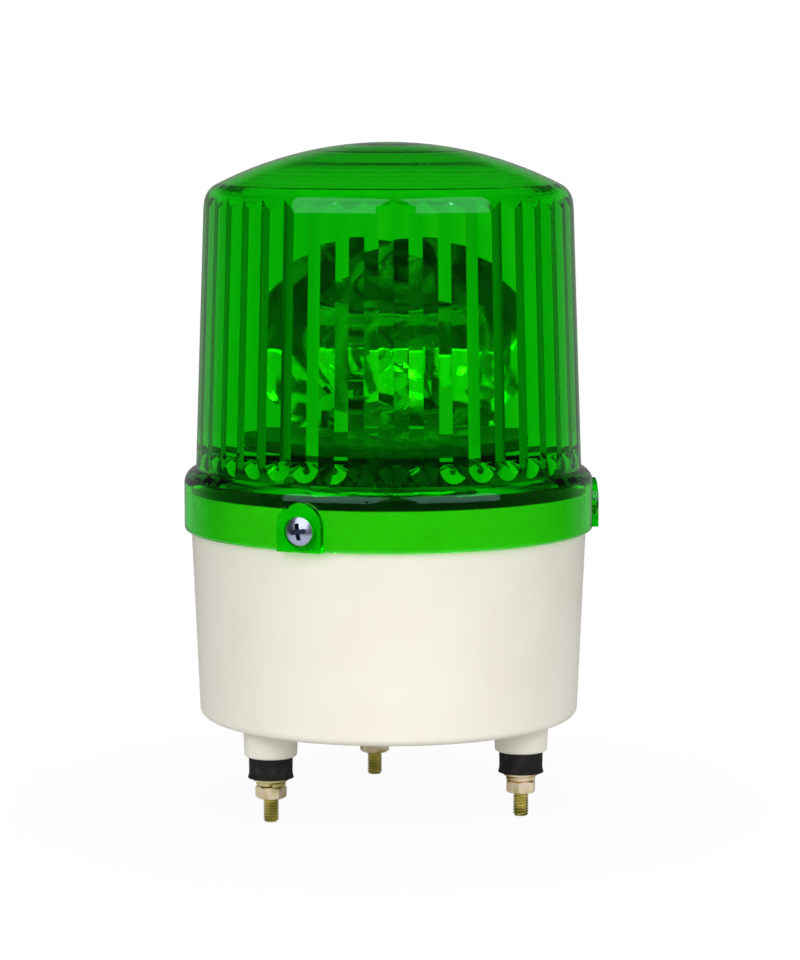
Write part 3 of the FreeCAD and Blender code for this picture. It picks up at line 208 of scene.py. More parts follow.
def cloudy(tree, grain, detail=3.0):
    """Noise from 0 to 1 with features of about grain metres."""
    sockets = {"Vector": place_on_beacon(tree), "Scale": 1.0 / grain, "Detail": detail}
    return tree.node("ShaderNodeTexNoise", {}, sockets)


def bumped(tree, height, depth):
    """A normal that rises by depth metres where height is 1."""
    return tree.node("ShaderNodeBump", {}, {"Height": height, "Distance": depth, "Strength": 1.0})


def principled(tree, **sockets):
    """The Principled shader, with sockets named as Blender does but with _ for spaces."""
    named = {key.replace("_", " "): value for key, value in sockets.items()}
    return tree.node("ShaderNodeBsdfPrincipled", {}, named)


def put_out(tree, shader, **more):
    """The material's output: a shader for the surface, and what else is given, such as a Volume."""
    tree.node("ShaderNodeOutputMaterial", {}, {"Surface": shader, **more})


print("finish helpers ready")

# %% [markdown]
# ## Cream moulding
#
# The base is moulded in an opaque cream plastic with a fine satin grain. Such a moulding is never one even
# colour: the pigment clouds a little, and the grain catches light. Two noises do it, a wide one for the
# colour and a fine one for roughness and bump.

# %% Cream plastic
CREAM_TINTS = colour(0.84, 0.80, 0.70), colour(0.87, 0.835, 0.74)


def cream_plastic():
    material, tree = new_finish("cream_plastic")
    cloud = cloudy(tree, grain=25 * MM)
    grain = cloudy(tree, grain=0.5 * MM, detail=2.0)
    shader = principled(
        tree,
        Base_Color=cloud.between(low=0.3, high=0.7).mix(*CREAM_TINTS),
        Roughness=0.36 + 0.12 * grain,
        IOR=1.5,
        Normal=bumped(tree, grain, depth=0.012 * MM),
    )
    put_out(tree, shader)
    return material


CREAM = cream_plastic()
print("made", CREAM.name)

# %% [markdown]
# ## Painted rings in the dome
#
# The rings on the dome are painted shade: darker bands in the tint of the lens, not a shape. A noise along
# one dimension, the distance from the axis, draws them. The middle of the dome is a cap painted a little
# darker, so it is added to the rings, and a soft step in height keeps both off the sides of the lens.

# %% Painted dome rings
DOME_FOOT = (162 * MM, 164 * MM)
DOME_CAP = (26 * MM, 28 * MM)
RING_WIDTH = 1.6 * MM
RING_CONTRAST = (0.4, 0.65)
RING_SHARE = 0.75
CAP_SHARE = 0.35


def painted_dome_shade(tree):
    """A wire for painted shade: high on the darker rings of the dome and on its cap, and 0 below the dome."""
    place = place_on_beacon(tree)
    flat = tree.node("ShaderNodeVectorMath", {"operation": "MULTIPLY"}, {0: place, 1: (1, 1, 0)})
    radius = tree.node("ShaderNodeVectorMath", {"operation": "LENGTH"}, {0: flat}, out="Value")
    noise = {"W": radius, "Scale": 1 / RING_WIDTH}
    rings = tree.node("ShaderNodeTexNoise", {"noise_dimensions": "1D"}, noise).between(*RING_CONTRAST)
    cap = 1 - radius.between(*DOME_CAP)
    height = tree.node("ShaderNodeSeparateXYZ", {}, {0: place}, out="Z")
    return height.between(*DOME_FOOT) * (RING_SHARE * rings + CAP_SHARE * cap)


print("dome rings about", RING_WIDTH / MM, "mm wide, cap", DOME_CAP[1] / MM, "mm in radius")

# %% [markdown]
# ## Clear green lens
#
# The lens is clear plastic, dyed through: the further light goes in it, the greener and darker it gets. That
# is why the ridges seen edge-on are nearly black-green while the broad faces are bright. So the surface has
# only a light tint, and most of the dye is a Volume Absorption inside it. Cycles can't find lamps through
# refracting glass, so rays from lamps take a Transparent shader at the surface instead. Without that the
# inside would stay black.

# %% Green lens
SURFACE_TINT = colour(0.9, 0.8, 0.5)
# Painted shade: the darker tint of the dome's rings and cap.
PAINTED_RING_SHADE = colour(0.75, 0.58, 0.42)
GLOSS_TINT = colour(0.5, 1.0, 0.9)
LAMP_TINT = colour(0.91, 0.86, 0.68)
DYE = colour(0.25, 0.963, 0.04)
DYE_DENSITY = 1350.0


def open_to_lamps(tree, shader, tint):
    """The shader for all rays but those from lamps, which pass straight through and take the tint."""
    passage = tree.node("ShaderNodeBsdfTransparent", {}, {"Color": tint})
    lamp_ray = tree.node("ShaderNodeLightPath", out="Is Shadow Ray")
    return tree.node("ShaderNodeMixShader", {}, {0: lamp_ray, 1: shader, 2: passage})


def green_lens():
    material, tree = new_finish("green_lens")
    ripple = cloudy(tree, grain=6 * MM, detail=1.0)
    clear = principled(
        tree,
        # The dome's rings and cap are painted shade in the lens tint.
        Base_Color=painted_dome_shade(tree).mix(SURFACE_TINT, PAINTED_RING_SHADE),
        Transmission_Weight=1.0,
        Specular_Tint=GLOSS_TINT,
        IOR=1.49,
        Roughness=0.01 + 0.03 * ripple,
        Normal=bumped(tree, ripple, depth=0.004 * MM),
    )
    dye = tree.node("ShaderNodeVolumeAbsorption", {}, {"Color": DYE, "Density": DYE_DENSITY})
    put_out(tree, open_to_lamps(tree, clear, LAMP_TINT), Volume=dye)
    return material


GREEN = green_lens()
print("made", GREEN.name)

# %% [markdown]
# ## Rubber and black mouldings
#
# The feet and the gasket are matt black rubber with a trace of dust. The turntable and the terminal block are
# black mouldings, a little smoother.

# %% Rubber and black plastic
RUBBER_TINTS = colour(0.010, 0.010, 0.009), colour(0.028, 0.027, 0.024)
BLACK_TINTS = colour(0.070, 0.070, 0.072), colour(0.100, 0.100, 0.102)


def black_rubber():
    material, tree = new_finish("black_rubber")
    dust = cloudy(tree, grain=2.5 * MM, detail=5.0)
    grain = cloudy(tree, grain=0.3 * MM)
    shader = principled(
        tree,
        Base_Color=dust.between(low=0.45, high=0.8).mix(*RUBBER_TINTS),
        Specular_IOR_Level=0.2,
        Roughness=0.55 + 0.25 * dust,
        Normal=bumped(tree, grain, depth=0.02 * MM),
    )
    put_out(tree, shader)
    return material


def black_plastic():
    material, tree = new_finish("black_plastic")
    cloud = cloudy(tree, grain=8 * MM)
    grain = cloudy(tree, grain=0.4 * MM)
    shader = principled(
        tree,
        Base_Color=cloud.mix(*BLACK_TINTS),
        Roughness=0.34 + 0.16 * grain,
        Normal=bumped(tree, grain, depth=0.01 * MM),
    )
    put_out(tree, shader)
    return material


RUBBER = black_rubber()
BLACK = black_plastic()
print("made", RUBBER.name, BLACK.name)

# %% [markdown]
# ## Yellow zinc
#
# The studs, nuts and washers are zinc plated and passivated yellow: a thin film that shifts from straw to
# pink to green as its thickness wanders, so a noise runs through a ramp of those tints. The noise is about as
# broad as a nut, because smaller patches would hide the flats. In the thread the film is thicker and turns
# olive.

# %% Yellow zinc
STRAW_TINTS = [
    (0.0, colour(0.40, 0.27, 0.10)),
    (0.3, colour(0.88, 0.74, 0.43)),
    (0.5, colour(0.97, 0.81, 0.65)),
    (0.7, colour(0.92, 0.79, 0.47)),
    (1.0, colour(0.42, 0.38, 0.12)),
]
OLIVE_TINTS = [
    (0.0, colour(0.36, 0.36, 0.09)),
    (0.5, colour(0.84, 0.74, 0.31)),
    (1.0, colour(0.46, 0.46, 0.12)),
]


def yellow_zinc(name, tints):
    """Zinc plate with a thin film that runs through these tints."""
    material, tree = new_finish(name)
    film = cloudy(tree, grain=7 * MM, detail=1.0).between(low=0.25, high=0.75)
    scuff = cloudy(tree, grain=0.35 * MM, detail=4.0)
    shader = principled(
        tree,
        Base_Color=tree.node("ShaderNodeValToRGB", {"stops": tints}, {"Fac": film}),
        Metallic=1.0,
        Roughness=0.13 + 0.16 * scuff,
        Normal=bumped(tree, scuff, depth=0.006 * MM),
    )
    put_out(tree, shader)
    return material


ZINC = yellow_zinc("zinc_plate", STRAW_TINTS)
OLIVE_ZINC = yellow_zinc("zinc_thread", OLIVE_TINTS)
print("made", ZINC.name, OLIVE_ZINC.name)

# %% [markdown]
# ## Steel, brass and sheet
#
# Plain steel and brass only need the fine scratches of handling, so one function makes both from two tints.
# The punched recess of a screw is the same steel, duller, with painted shade that darkens it. The chassis
# sheet
# has the faint spangle of galvanising: the cells of a Voronoi texture, each a little brighter towards its
# rim.


# %% Steel, brass and sheet
def scratched_metal(name, dark, light, least_rough):
    """A bare or plated metal between two tints, with fine handling marks."""
    material, tree = new_finish(name)
    tone = cloudy(tree, grain=4 * MM)
    marks = cloudy(tree, grain=0.4 * MM, detail=4.0)
    shader = principled(
        tree,
        Base_Color=tone.mix(dark, light),
        Metallic=1.0,
        Roughness=least_rough + 0.18 * marks,
        Normal=bumped(tree, marks, depth=0.004 * MM),
    )
    put_out(tree, shader)
    return material


def chassis_sheet():
    material, tree = new_finish("chassis_metal")
    spangle = {"Vector": place_on_beacon(tree), "Scale": 1 / (3 * MM)}
    cells = tree.node("ShaderNodeTexVoronoi", {}, spangle).between(low=0.1, high=0.8)
    marks = cloudy(tree, grain=0.5 * MM, detail=4.0)
    shader = principled(
        tree,
        Base_Color=cells.mix(colour(0.50, 0.50, 0.49), colour(0.64, 0.64, 0.63)),
        Metallic=1.0,
        Roughness=0.32 + 0.15 * marks,
        Normal=bumped(tree, marks, depth=0.006 * MM),
    )
    put_out(tree, shader)
    return material


STEEL_TINTS = colour(0.42, 0.47, 0.66), colour(0.58, 0.63, 0.84)
# Painted shade: the recess steel is darker than the head.
RECESS_SHADE_TINTS = colour(0.04, 0.05, 0.10), colour(0.09, 0.11, 0.20)
BRASS_TINTS = colour(0.62, 0.45, 0.18), colour(0.74, 0.56, 0.27)
STEEL = scratched_metal("bright_steel", *STEEL_TINTS, least_rough=0.16)
RECESS_STEEL_PAINTED_SHADE = scratched_metal("steel_recess_painted_shade", *RECESS_SHADE_TINTS, least_rough=0.4)
BRASS = scratched_metal("brass", *BRASS_TINTS, least_rough=0.2)
CHASSIS = chassis_sheet()
print("made", STEEL.name, RECESS_STEEL_PAINTED_SHADE.name, BRASS.name, CHASSIS.name)

# %% [markdown]
# ## Mirror and glass
#
# The dish is a moulding with bright metal laid on in a vacuum. The metal is a mirror, but the moulding under
# it is never quite true, so its reflections wobble. A wide, very shallow bump does that. The bulb is plain
# clear glass, open to lamps as the lens is.


# %% Dish mirror and bulb glass
def dish_chrome():
    material, tree = new_finish("dish_chrome")
    wobble = cloudy(tree, grain=9 * MM, detail=1.0)
    haze = cloudy(tree, grain=3 * MM)
    shader = principled(
        tree,
        Base_Color=haze.mix(colour(0.82, 0.83, 0.84), colour(0.90, 0.90, 0.91)),
        Metallic=1.0,
        Roughness=0.03 + 0.05 * haze,
        Normal=bumped(tree, wobble, depth=0.12 * MM),
    )
    put_out(tree, shader)
    return material


def clear_glass():
    material, tree = new_finish("bulb_glass")
    film = cloudy(tree, grain=5 * MM)
    clear = principled(
        tree,
        Base_Color=film.mix(colour(0.93, 0.95, 0.95), colour(0.99, 0.99, 0.99)),
        Transmission_Weight=1.0,
        IOR=1.5,
        Roughness=0.0,
    )
    put_out(tree, open_to_lamps(tree, clear, colour(0.95, 0.96, 0.96)))
    return material


MIRROR = dish_chrome()
GLASS = clear_glass()
print("made", MIRROR.name, GLASS.name)

# %% [markdown]
# ## Every CAD node gets its finish
#
# The packed record already says which finish each node has, by its material slot. So the nodes are dressed by
# a loop over the record and none is forgotten.

# %% Dress the nodes
FINISHES = {
    "cream_plastic": CREAM,
    "green_lens": GREEN,
    "black_rubber": RUBBER,
    "zinc_plate": ZINC,
    "bright_steel": STEEL,
    "chassis_metal": CHASSIS,
    "black_plastic": BLACK,
    "brass": BRASS,
    "bulb_glass": GLASS,
    "dish_chrome": MIRROR,
}
for subpart in frame["record"]["subparts"]:
    mesh = frame["nodes"][subpart["node"]].data
    mesh.materials.clear()
    mesh.materials.append(FINISHES[subpart["material_slot"]])

# %% [markdown]
# ## From a bmesh to a piece
#
# A new piece is shaped once as a bmesh, copied round the beacon's axis where there are several, and turned
# into one object at the origin. The object rides on the body of the node that it stands for, so it moves with
# that body and hides the plain solid.


# %% Helpers for pieces
def copies_round_axis(shape, angles):
    """One bmesh that holds shape turned about the beacon's axis to each angle."""
    single = bpy.data.meshes.new("single")
    shape.to_mesh(single)
    group = bmesh.new()
    for angle in angles:
        turned = single.copy()
        turned.transform(Matrix.Rotation(angle, 4, "Z"))
        group.from_mesh(turned)
        bpy.data.meshes.remove(turned)
    bpy.data.meshes.remove(single)
    shape.free()
    return group


def finished_piece(name, shape, finish, smooth_below=35):
    """An object at the origin from a bmesh, smooth where faces meet at less than smooth_below degrees."""
    bmesh.ops.recalc_face_normals(shape, faces=shape.faces)
    for face in shape.faces:
        face.smooth = True
    for edge in shape.edges:
        edge.smooth = edge.is_manifold and edge.calc_face_angle() < math.radians(smooth_below)
    mesh = bpy.data.meshes.new(name)
    shape.to_mesh(mesh)
    shape.free()
    mesh.materials.append(finish)
    piece = bpy.data.objects.new(name, mesh)
    bpy.context.scene.collection.objects.link(piece)
    return piece


def stand_for(piece, node):
    """The piece takes the node's place on its body, and the node is hidden."""
    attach(piece, frame["nodes"][node]["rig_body"])
    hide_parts(node)
    print(piece.name, "stands for", node, "with", len(piece.data.polygons), "faces")


print("piece helpers ready")

# %% [markdown]
# ## Turning and cutting
#
# Most of the small pieces start on a lathe, so a profile is spun about the Z axis. Doubled points at the seam
# and on the axis are merged after the spin, and the normals are made to face outwards. A flat cut is the
# other tool: bisect_plane throws away what lies beyond the plane, and the open rim is then closed by a face.

# %% Turning and cutting
SPIN_STEPS = 48
MERGE_DISTANCE = 0.001 * MM


def turned_shape(profile, ring=False, steps=SPIN_STEPS):
    """A shape of revolution about Z from an (across, up) profile.

    The profile runs from axis to axis, or all round the section of a ring.
    """
    shape = bmesh.new()
    points = [shape.verts.new((across, 0, up)) for across, up in profile]
    sides = [shape.edges.new(pair) for pair in zip(points, points[1:])]
    if ring:
        sides.append(shape.edges.new((points[-1], points[0])))
    bmesh.ops.spin(
        shape,
        geom=points + sides,
        cent=(0, 0, 0),
        axis=(0, 0, 1),
        angle=2 * math.pi,
        steps=steps,
        use_merge=True,
    )
    bmesh.ops.remove_doubles(shape, verts=shape.verts, dist=MERGE_DISTANCE)
    bmesh.ops.recalc_face_normals(shape, faces=shape.faces)
    return shape


def trimmed(shape, at, outwards):
    """Cuts shape by a plane, throws away what lies outwards of it and closes the cut."""
    whole = shape.verts[:] + shape.edges[:] + shape.faces[:]
    cut = bmesh.ops.bisect_plane(shape, geom=whole, plane_co=at, plane_no=outwards, clear_outer=True)
    rim = [part for part in cut["geom_cut"] if isinstance(part, bmesh.types.BMEdge)]
    bmesh.ops.contextual_create(shape, geom=rim)


print("a turned piece has", SPIN_STEPS, "steps")

# %% [markdown]
# ## One thread
#
# The CAD studs are plain rods. A real thread is one V swept round the rod while it climbs, so one V-shaped
# profile is spun with a climb at each step, which makes a true helix. It starts too low and ends too high,
# and two cuts then trim the ends square.

# %% Thread
STUDS = next(mount for mount in frame["record"]["mounts"] if mount["name"] == "studs")
STUD_RADIUS = STUDS["dims"]["stud_r_mm"] * MM
THREAD_PITCH = 0.7 * MM
THREAD_DEPTH = 0.6 * THREAD_PITCH
THREAD_CORE = STUD_RADIUS - THREAD_DEPTH
THREAD_FLANK = 0.4 * THREAD_PITCH
THREAD_CREST = 0.15 * THREAD_PITCH
THREAD_STEPS = 28


def thread(low, high):
    """A right-hand thread about the Z axis from low to high."""
    shape = bmesh.new()
    turns = math.ceil((high - low) / THREAD_PITCH) + 2
    start = low - THREAD_PITCH
    profile = [
        (THREAD_CORE, start),
        (STUD_RADIUS, start + THREAD_FLANK),
        (STUD_RADIUS, start + THREAD_FLANK + THREAD_CREST),
        (THREAD_CORE, start + 2 * THREAD_FLANK + THREAD_CREST),
        (THREAD_CORE, start + THREAD_PITCH),
    ]
    corners = [shape.verts.new((across, 0, up)) for across, up in profile]
    sides = [shape.edges.new(pair) for pair in zip(corners, corners[1:])]
    bmesh.ops.spin(
        shape,
        geom=corners + sides,
        cent=(0, 0, 0),
        axis=(0, 0, 1),
        dvec=(0, 0, THREAD_PITCH / THREAD_STEPS),
        angle=2 * math.pi * turns,
        steps=THREAD_STEPS * turns,
    )
    bmesh.ops.remove_doubles(shape, verts=shape.verts, dist=MERGE_DISTANCE)
    trimmed(shape, (0, 0, low), (0, 0, -1))
    trimmed(shape, (0, 0, high), (0, 0, 1))
    return shape


print("thread of", round(2 * STUD_RADIUS / MM, 2), "mm with a pitch of", THREAD_PITCH / MM, "mm")

# %% [markdown]
# ## Three studs
#
# A stud has its thread below and a plain shank above, which goes up into the foot. Points near the tip are
# drawn in for the lead-in chamfer. The stud is made once, pushed out to its circle and copied to three
# angles.

# %% Studs
STUD_CIRCLE = STUDS["dims"]["pcd_mm"] / 2 * MM
STUD_ANGLES = [math.radians(degrees) for degrees in (90, 210, 330)]
STUD_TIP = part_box("mounting_studs")[0].z
STUD_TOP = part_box("mounting_studs")[1].z
THREAD_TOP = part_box("hex_nuts")[1].z
TIP_CHAMFER = 0.45 * MM


def mounting_stud():
    """One stud on +X: thread below, plain shank above."""
    stud = thread(STUD_TIP, THREAD_TOP)
    for point in stud.verts:
        most = STUD_RADIUS - max(0.0, TIP_CHAMFER - (point.co.z - STUD_TIP))
        across = point.co.xy.length
        if across > most:
            point.co.xy *= most / across
    shank = bmesh.ops.create_cone(
        stud,
        cap_ends=True,
        segments=THREAD_STEPS,
        radius1=THREAD_CORE,
        radius2=THREAD_CORE,
        depth=STUD_TOP - THREAD_TOP,
    )
    bmesh.ops.translate(stud, verts=shank["verts"], vec=(0, 0, (STUD_TOP + THREAD_TOP) / 2))
    bmesh.ops.translate(stud, verts=stud.verts, vec=(STUD_CIRCLE, 0, 0))
    return stud


studs = finished_piece("threaded_studs", copies_round_axis(mounting_stud(), STUD_ANGLES), OLIVE_ZINC)
stand_for(studs, "mounting_studs")

# %% [markdown]
# ## Nuts
#
# A hex nut is turned and then milled: a ring with a bevel on both faces comes first, and six flats are cut
# off it. That order leaves the curved bright edges at the corners by itself. Nobody lines nuts up when they
# tighten them, so each of the three is turned its own way.

# %% Hex nuts
NUT_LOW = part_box("hex_nuts")[0].z
NUT_HALF_FLATS = 3.5 * MM
NUT_CORNER = NUT_HALF_FLATS / math.cos(math.pi / 6)
NUT_FACE = 3.35 * MM
NUT_BEVEL = 0.42 * MM
NUT_TURNS = [math.radians(degrees) for degrees in (15, 266, 284)]


def hex_nut():
    """A nut about Z with one flat across +X."""
    section = [
        (STUD_RADIUS, NUT_LOW + NUT_BEVEL),
        (STUD_RADIUS + NUT_BEVEL, NUT_LOW),
        (NUT_FACE, NUT_LOW),
        (NUT_CORNER, NUT_LOW + NUT_BEVEL),
        (NUT_CORNER, THREAD_TOP - NUT_BEVEL),
        (NUT_FACE, THREAD_TOP),
        (STUD_RADIUS, THREAD_TOP),
    ]
    nut = turned_shape(section, ring=True)
    for side in range(6):
        outwards = Matrix.Rotation(side * math.pi / 3, 3, "Z") @ Vector((1, 0, 0))
        trimmed(nut, outwards * NUT_HALF_FLATS, outwards)
    return nut


def one_per_stud(make, turns):
    """One bmesh that holds a new piece on every stud, each turned about its stud."""
    group = bmesh.new()
    single = bpy.data.meshes.new("single")
    for angle, turn in zip(STUD_ANGLES, turns):
        shape = make()
        shape.transform(Matrix.Rotation(turn, 4, "Z"))
        place = Matrix.Rotation(angle, 3, "Z") @ Vector((STUD_CIRCLE, 0, 0))
        shape.transform(Matrix.Translation(place))
        shape.to_mesh(single)
        shape.free()
        group.from_mesh(single)
    bpy.data.meshes.remove(single)
    return group


nuts = finished_piece("bevelled_nuts", one_per_stud(hex_nut, NUT_TURNS), ZINC, smooth_below=25)
stand_for(nuts, "hex_nuts")

# %% [markdown]
# ## Spring washers
#
# A spring washer is one turn of square wire, cut through and twisted a little, so that its two ends stand
# apart. One section is spun for a little less than a full turn with a climb, which gives the gap and the
# twist together.

# %% Spring washers
SPRING_LOW, SPRING_HIGH = (corner.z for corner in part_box("spring_washers"))
SPRING_CLIMB = 0.35 * MM
SPRING_INSIDE = 2.15 * MM
SPRING_OUTSIDE = 3.8 * MM
SPRING_EDGE = 0.12 * MM
SPRING_GAP = 0.75 * MM
SPRING_TURNS = [math.radians(degrees) for degrees in (40, 266, 150)]


def spring_washer():
    """A split washer about Z with its gap towards +X."""
    shape = bmesh.new()
    low, high = SPRING_LOW, SPRING_HIGH - SPRING_CLIMB
    section = [
        (SPRING_INSIDE, low),
        (SPRING_OUTSIDE - SPRING_EDGE, low),
        (SPRING_OUTSIDE, low + SPRING_EDGE),
        (SPRING_OUTSIDE, high - SPRING_EDGE),
        (SPRING_OUTSIDE - SPRING_EDGE, high),
        (SPRING_INSIDE, high),
    ]
    end = shape.faces.new([shape.verts.new((across, 0, up)) for across, up in section])
    gap = SPRING_GAP / SPRING_OUTSIDE
    bmesh.ops.spin(
        shape,
        geom=[end, *end.edges, *end.verts],
        cent=(0, 0, 0),
        axis=(0, 0, 1),
        dvec=(0, 0, SPRING_CLIMB / SPIN_STEPS),
        angle=2 * math.pi - gap,
        steps=SPIN_STEPS,
    )
    shape.transform(Matrix.Rotation(gap / 2, 4, "Z"))
    return shape


springs = finished_piece("split_washers", one_per_stud(spring_washer, SPRING_TURNS), ZINC)
stand_for(springs, "spring_washers")

# %% [markdown]
# ## The head of a lens screw
#
# Three round-headed screws hold the lens. The head is part of a sphere above a short straight edge, so its
# outline is an arc whose radius follows from the width and the rise of the crown. The outline is spun
# together with the shank below it.

# %% Screw head
SCREW_LOW, SCREW_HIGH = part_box("lens_screws")
HEAD_RADIUS = (SCREW_HIGH.z - SCREW_LOW.z) / 2
HEAD_RISE = 2.1 * MM
HEAD_EDGE = 1.1 * MM
SHANK_RADIUS = 1.7 * MM
SHANK_LENGTH = 7.0 * MM
CROWN_STEPS = 8


def crown_profile():
    """Half the outline of the head: (across, up) from the middle of the crown down to the seat."""
    arch = HEAD_RISE - HEAD_EDGE
    sphere = (HEAD_RADIUS**2 + arch**2) / (2 * arch)
    spread = math.asin(HEAD_RADIUS / sphere)
    crown = []
    for step in range(CROWN_STEPS + 1):
        slope = spread * step / CROWN_STEPS
        crown.append((sphere * math.sin(slope), HEAD_RISE - sphere * (1 - math.cos(slope))))
    return crown + [(HEAD_RADIUS, 0.0)]


def blank_screw():
    """A round-headed screw along Z with its seat at 0, before its recess is punched."""
    shank = [(SHANK_RADIUS, 0.0), (SHANK_RADIUS, -SHANK_LENGTH), (0.0, -SHANK_LENGTH)]
    return turned_shape(crown_profile() + shank)


print("screw head", round(2 * HEAD_RADIUS / MM, 2), "mm wide and", HEAD_RISE / MM, "mm high")

# %% [markdown]
# ## The cross recess
#
# The cross is cut out of the head by two tapered blades at right angles, as the punch that forms it does. A
# Boolean modifier makes the cut, and its result is taken as the mesh. The blades carry a second material
# index, so the faces that they leave take the darker recess steel, which is painted shade.

# %% Cross recess
RECESS_REACH = 3.2 * MM
RECESS_WIDTH = 1.4 * MM
RECESS_DEPTH = 1.4 * MM
REACH_TAPER = 0.45
WIDTH_TAPER = 0.7
RECESS_TURN = math.radians(8)


def cross_blade(turn):
    """One of the two tapered blades that cut the recess, its wide end above the crown."""
    blade = bmesh.new()
    bmesh.ops.create_cube(blade, size=1.0)
    for point in blade.verts:
        inside = point.co.z < 0
        point.co.x *= 2 * RECESS_REACH * (REACH_TAPER if inside else 1.0)
        point.co.y *= RECESS_WIDTH * (WIDTH_TAPER if inside else 1.0)
        point.co.z *= 2 * RECESS_DEPTH
    bmesh.ops.rotate(blade, verts=blade.verts, matrix=Matrix.Rotation(turn, 3, "Z"))
    bmesh.ops.translate(blade, verts=blade.verts, vec=(0, 0, HEAD_RISE))
    return blade


def cut_by(shape, cutter):
    """shape with cutter taken out of it, as a new bmesh."""
    for face in cutter.faces:
        # Slot 1 is the recess steel, darker as painted shade.
        face.material_index = 1
    blank = finished_piece("blank", shape, STEEL)
    tool = finished_piece("tool", cutter, STEEL)
    for scrap in (blank, tool):
        scrap.data.materials.append(RECESS_STEEL_PAINTED_SHADE)
    saw = blank.modifiers.new("cut", "BOOLEAN")
    saw.operation = "DIFFERENCE"
    saw.solver = "EXACT"
    saw.object = tool
    result = bmesh.new()
    result.from_object(blank, bpy.context.evaluated_depsgraph_get())
    for scrap in (blank, tool):
        bpy.data.objects.remove(scrap)
    return result


screw = blank_screw()
for turn in (RECESS_TURN, RECESS_TURN + math.pi / 2):
    screw = cut_by(screw, cross_blade(turn))
print("screw with its recess:", len(screw.faces), "faces")

# %% [markdown]
# ## Lens screws in place
#
# The screw was made upright. It is laid down along +X, pushed out until its crown reaches the end of the CAD
# screw, and copied to the three angles.

# %% Lens screws
SCREW_HEIGHT = (SCREW_LOW.z + SCREW_HIGH.z) / 2
SCREW_SEAT = SCREW_HIGH.x - HEAD_RISE
SCREW_ANGLES = [math.radians(degrees) for degrees in (0, 120, 240)]
LAY_DOWN = Matrix.Rotation(math.pi / 2, 3, "Y")

bmesh.ops.rotate(screw, verts=screw.verts, matrix=LAY_DOWN)
bmesh.ops.translate(screw, verts=screw.verts, vec=(SCREW_SEAT, 0, SCREW_HEIGHT))
screws = finished_piece("cross_head_screws", copies_round_axis(screw, SCREW_ANGLES), STEEL)
screws.data.materials.append(RECESS_STEEL_PAINTED_SHADE)
stand_for(screws, "lens_screws")

# %% [markdown]
# ## The gasket and its steps
#
# A rubber ring seals the lens against the rim of the base. Behind each lens screw the rim has an arched lug,
# and the ring steps over it, so the dark line behind the green skirt breaks there. The ring is spun plain
# first, and then the points at the level of the rim are lifted to the arches. It ends a hair below the lens,
# because the film of air there is what makes the shoulder shine.

# %% Gasket
GASKET_LOW, GASKET_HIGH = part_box("lens_gasket")
RIM = GASKET_LOW.z
RIM_TOLERANCE = 0.01 * MM
AIR_FILM = 0.15 * MM
GASKET_RADIUS = GASKET_HIGH.x
GASKET_BORE = 48.7 * MM
GASKET_TOP = GASKET_HIGH.z - AIR_FILM
GASKET_EDGE = 0.3 * MM
GASKET_STEPS = 480
LUG_MIDDLE = 80.0 * MM
LUG_RADIUS = 5.8 * MM


def lug_height(angle):
    """Top of the rim at an angle about the axis: an arch near each screw, flat between."""
    turn = min(abs(math.remainder(angle - screw_angle, 2 * math.pi)) for screw_angle in SCREW_ANGLES)
    aside = min(turn * GASKET_RADIUS, LUG_RADIUS)
    return max(RIM, LUG_MIDDLE + math.sqrt(LUG_RADIUS**2 - aside**2))


def lift_over_lugs(shape):
    """Lifts the points that lie level with the rim to the arches."""
    for point in shape.verts:
        if abs(point.co.z - RIM) < RIM_TOLERANCE:
            point.co.z = lug_height(math.atan2(point.co.y, point.co.x))


def gasket_ring():
    section = [
        (GASKET_BORE, RIM),
        (GASKET_RADIUS, RIM),
        (GASKET_RADIUS, GASKET_TOP - GASKET_EDGE),
        (GASKET_RADIUS - GASKET_EDGE, GASKET_TOP),
        (GASKET_BORE + GASKET_EDGE, GASKET_TOP),
        (GASKET_BORE, GASKET_TOP - GASKET_EDGE),
    ]
    ring = turned_shape(section, ring=True, steps=GASKET_STEPS)
    lift_over_lugs(ring)
    return ring


gasket = finished_piece("stepped_gasket", gasket_ring(), RUBBER)
stand_for(gasket, "lens_gasket")

# %% [markdown]
# ## Lugs on the rim
#
# The lugs themselves are short stretches of a ring, rooted in the rim and lifted to the same arches. They are
# part of the base moulding, so they wear its finish and ride on its body. They replace nothing, because CAD
# has no solid for them. Each ends a little inside the foot of its arch, so that its end has some height.

# %% Rim lugs
ARCH_FOOT = math.sqrt(LUG_RADIUS**2 - (RIM - LUG_MIDDLE) ** 2)
LUG_SHARE = 0.86
LUG_HALF_ANGLE = LUG_SHARE * ARCH_FOOT / GASKET_RADIUS
LUG_ROOT = RIM - 0.3 * MM
LUG_STEPS = 12


def rim_lug():
    """The lug behind the screw on +X."""
    lug = bmesh.new()
    section = [(GASKET_BORE, LUG_ROOT), (GASKET_RADIUS, LUG_ROOT), (GASKET_RADIUS, RIM), (GASKET_BORE, RIM)]
    end = lug.faces.new([lug.verts.new((across, 0, up)) for across, up in section])
    bmesh.ops.spin(
        lug,
        geom=[end, *end.edges, *end.verts],
        cent=(0, 0, 0),
        axis=(0, 0, 1),
        angle=2 * LUG_HALF_ANGLE,
        steps=LUG_STEPS,
    )
    lug.transform(Matrix.Rotation(-LUG_HALF_ANGLE, 4, "Z"))
    lift_over_lugs(lug)
    return lug


lugs = finished_piece("rim_lugs", copies_round_axis(rim_lug(), SCREW_ANGLES), CREAM)
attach(lugs, frame["nodes"]["base_housing"]["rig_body"])
print("lugs", len(lugs.data.polygons), "faces")

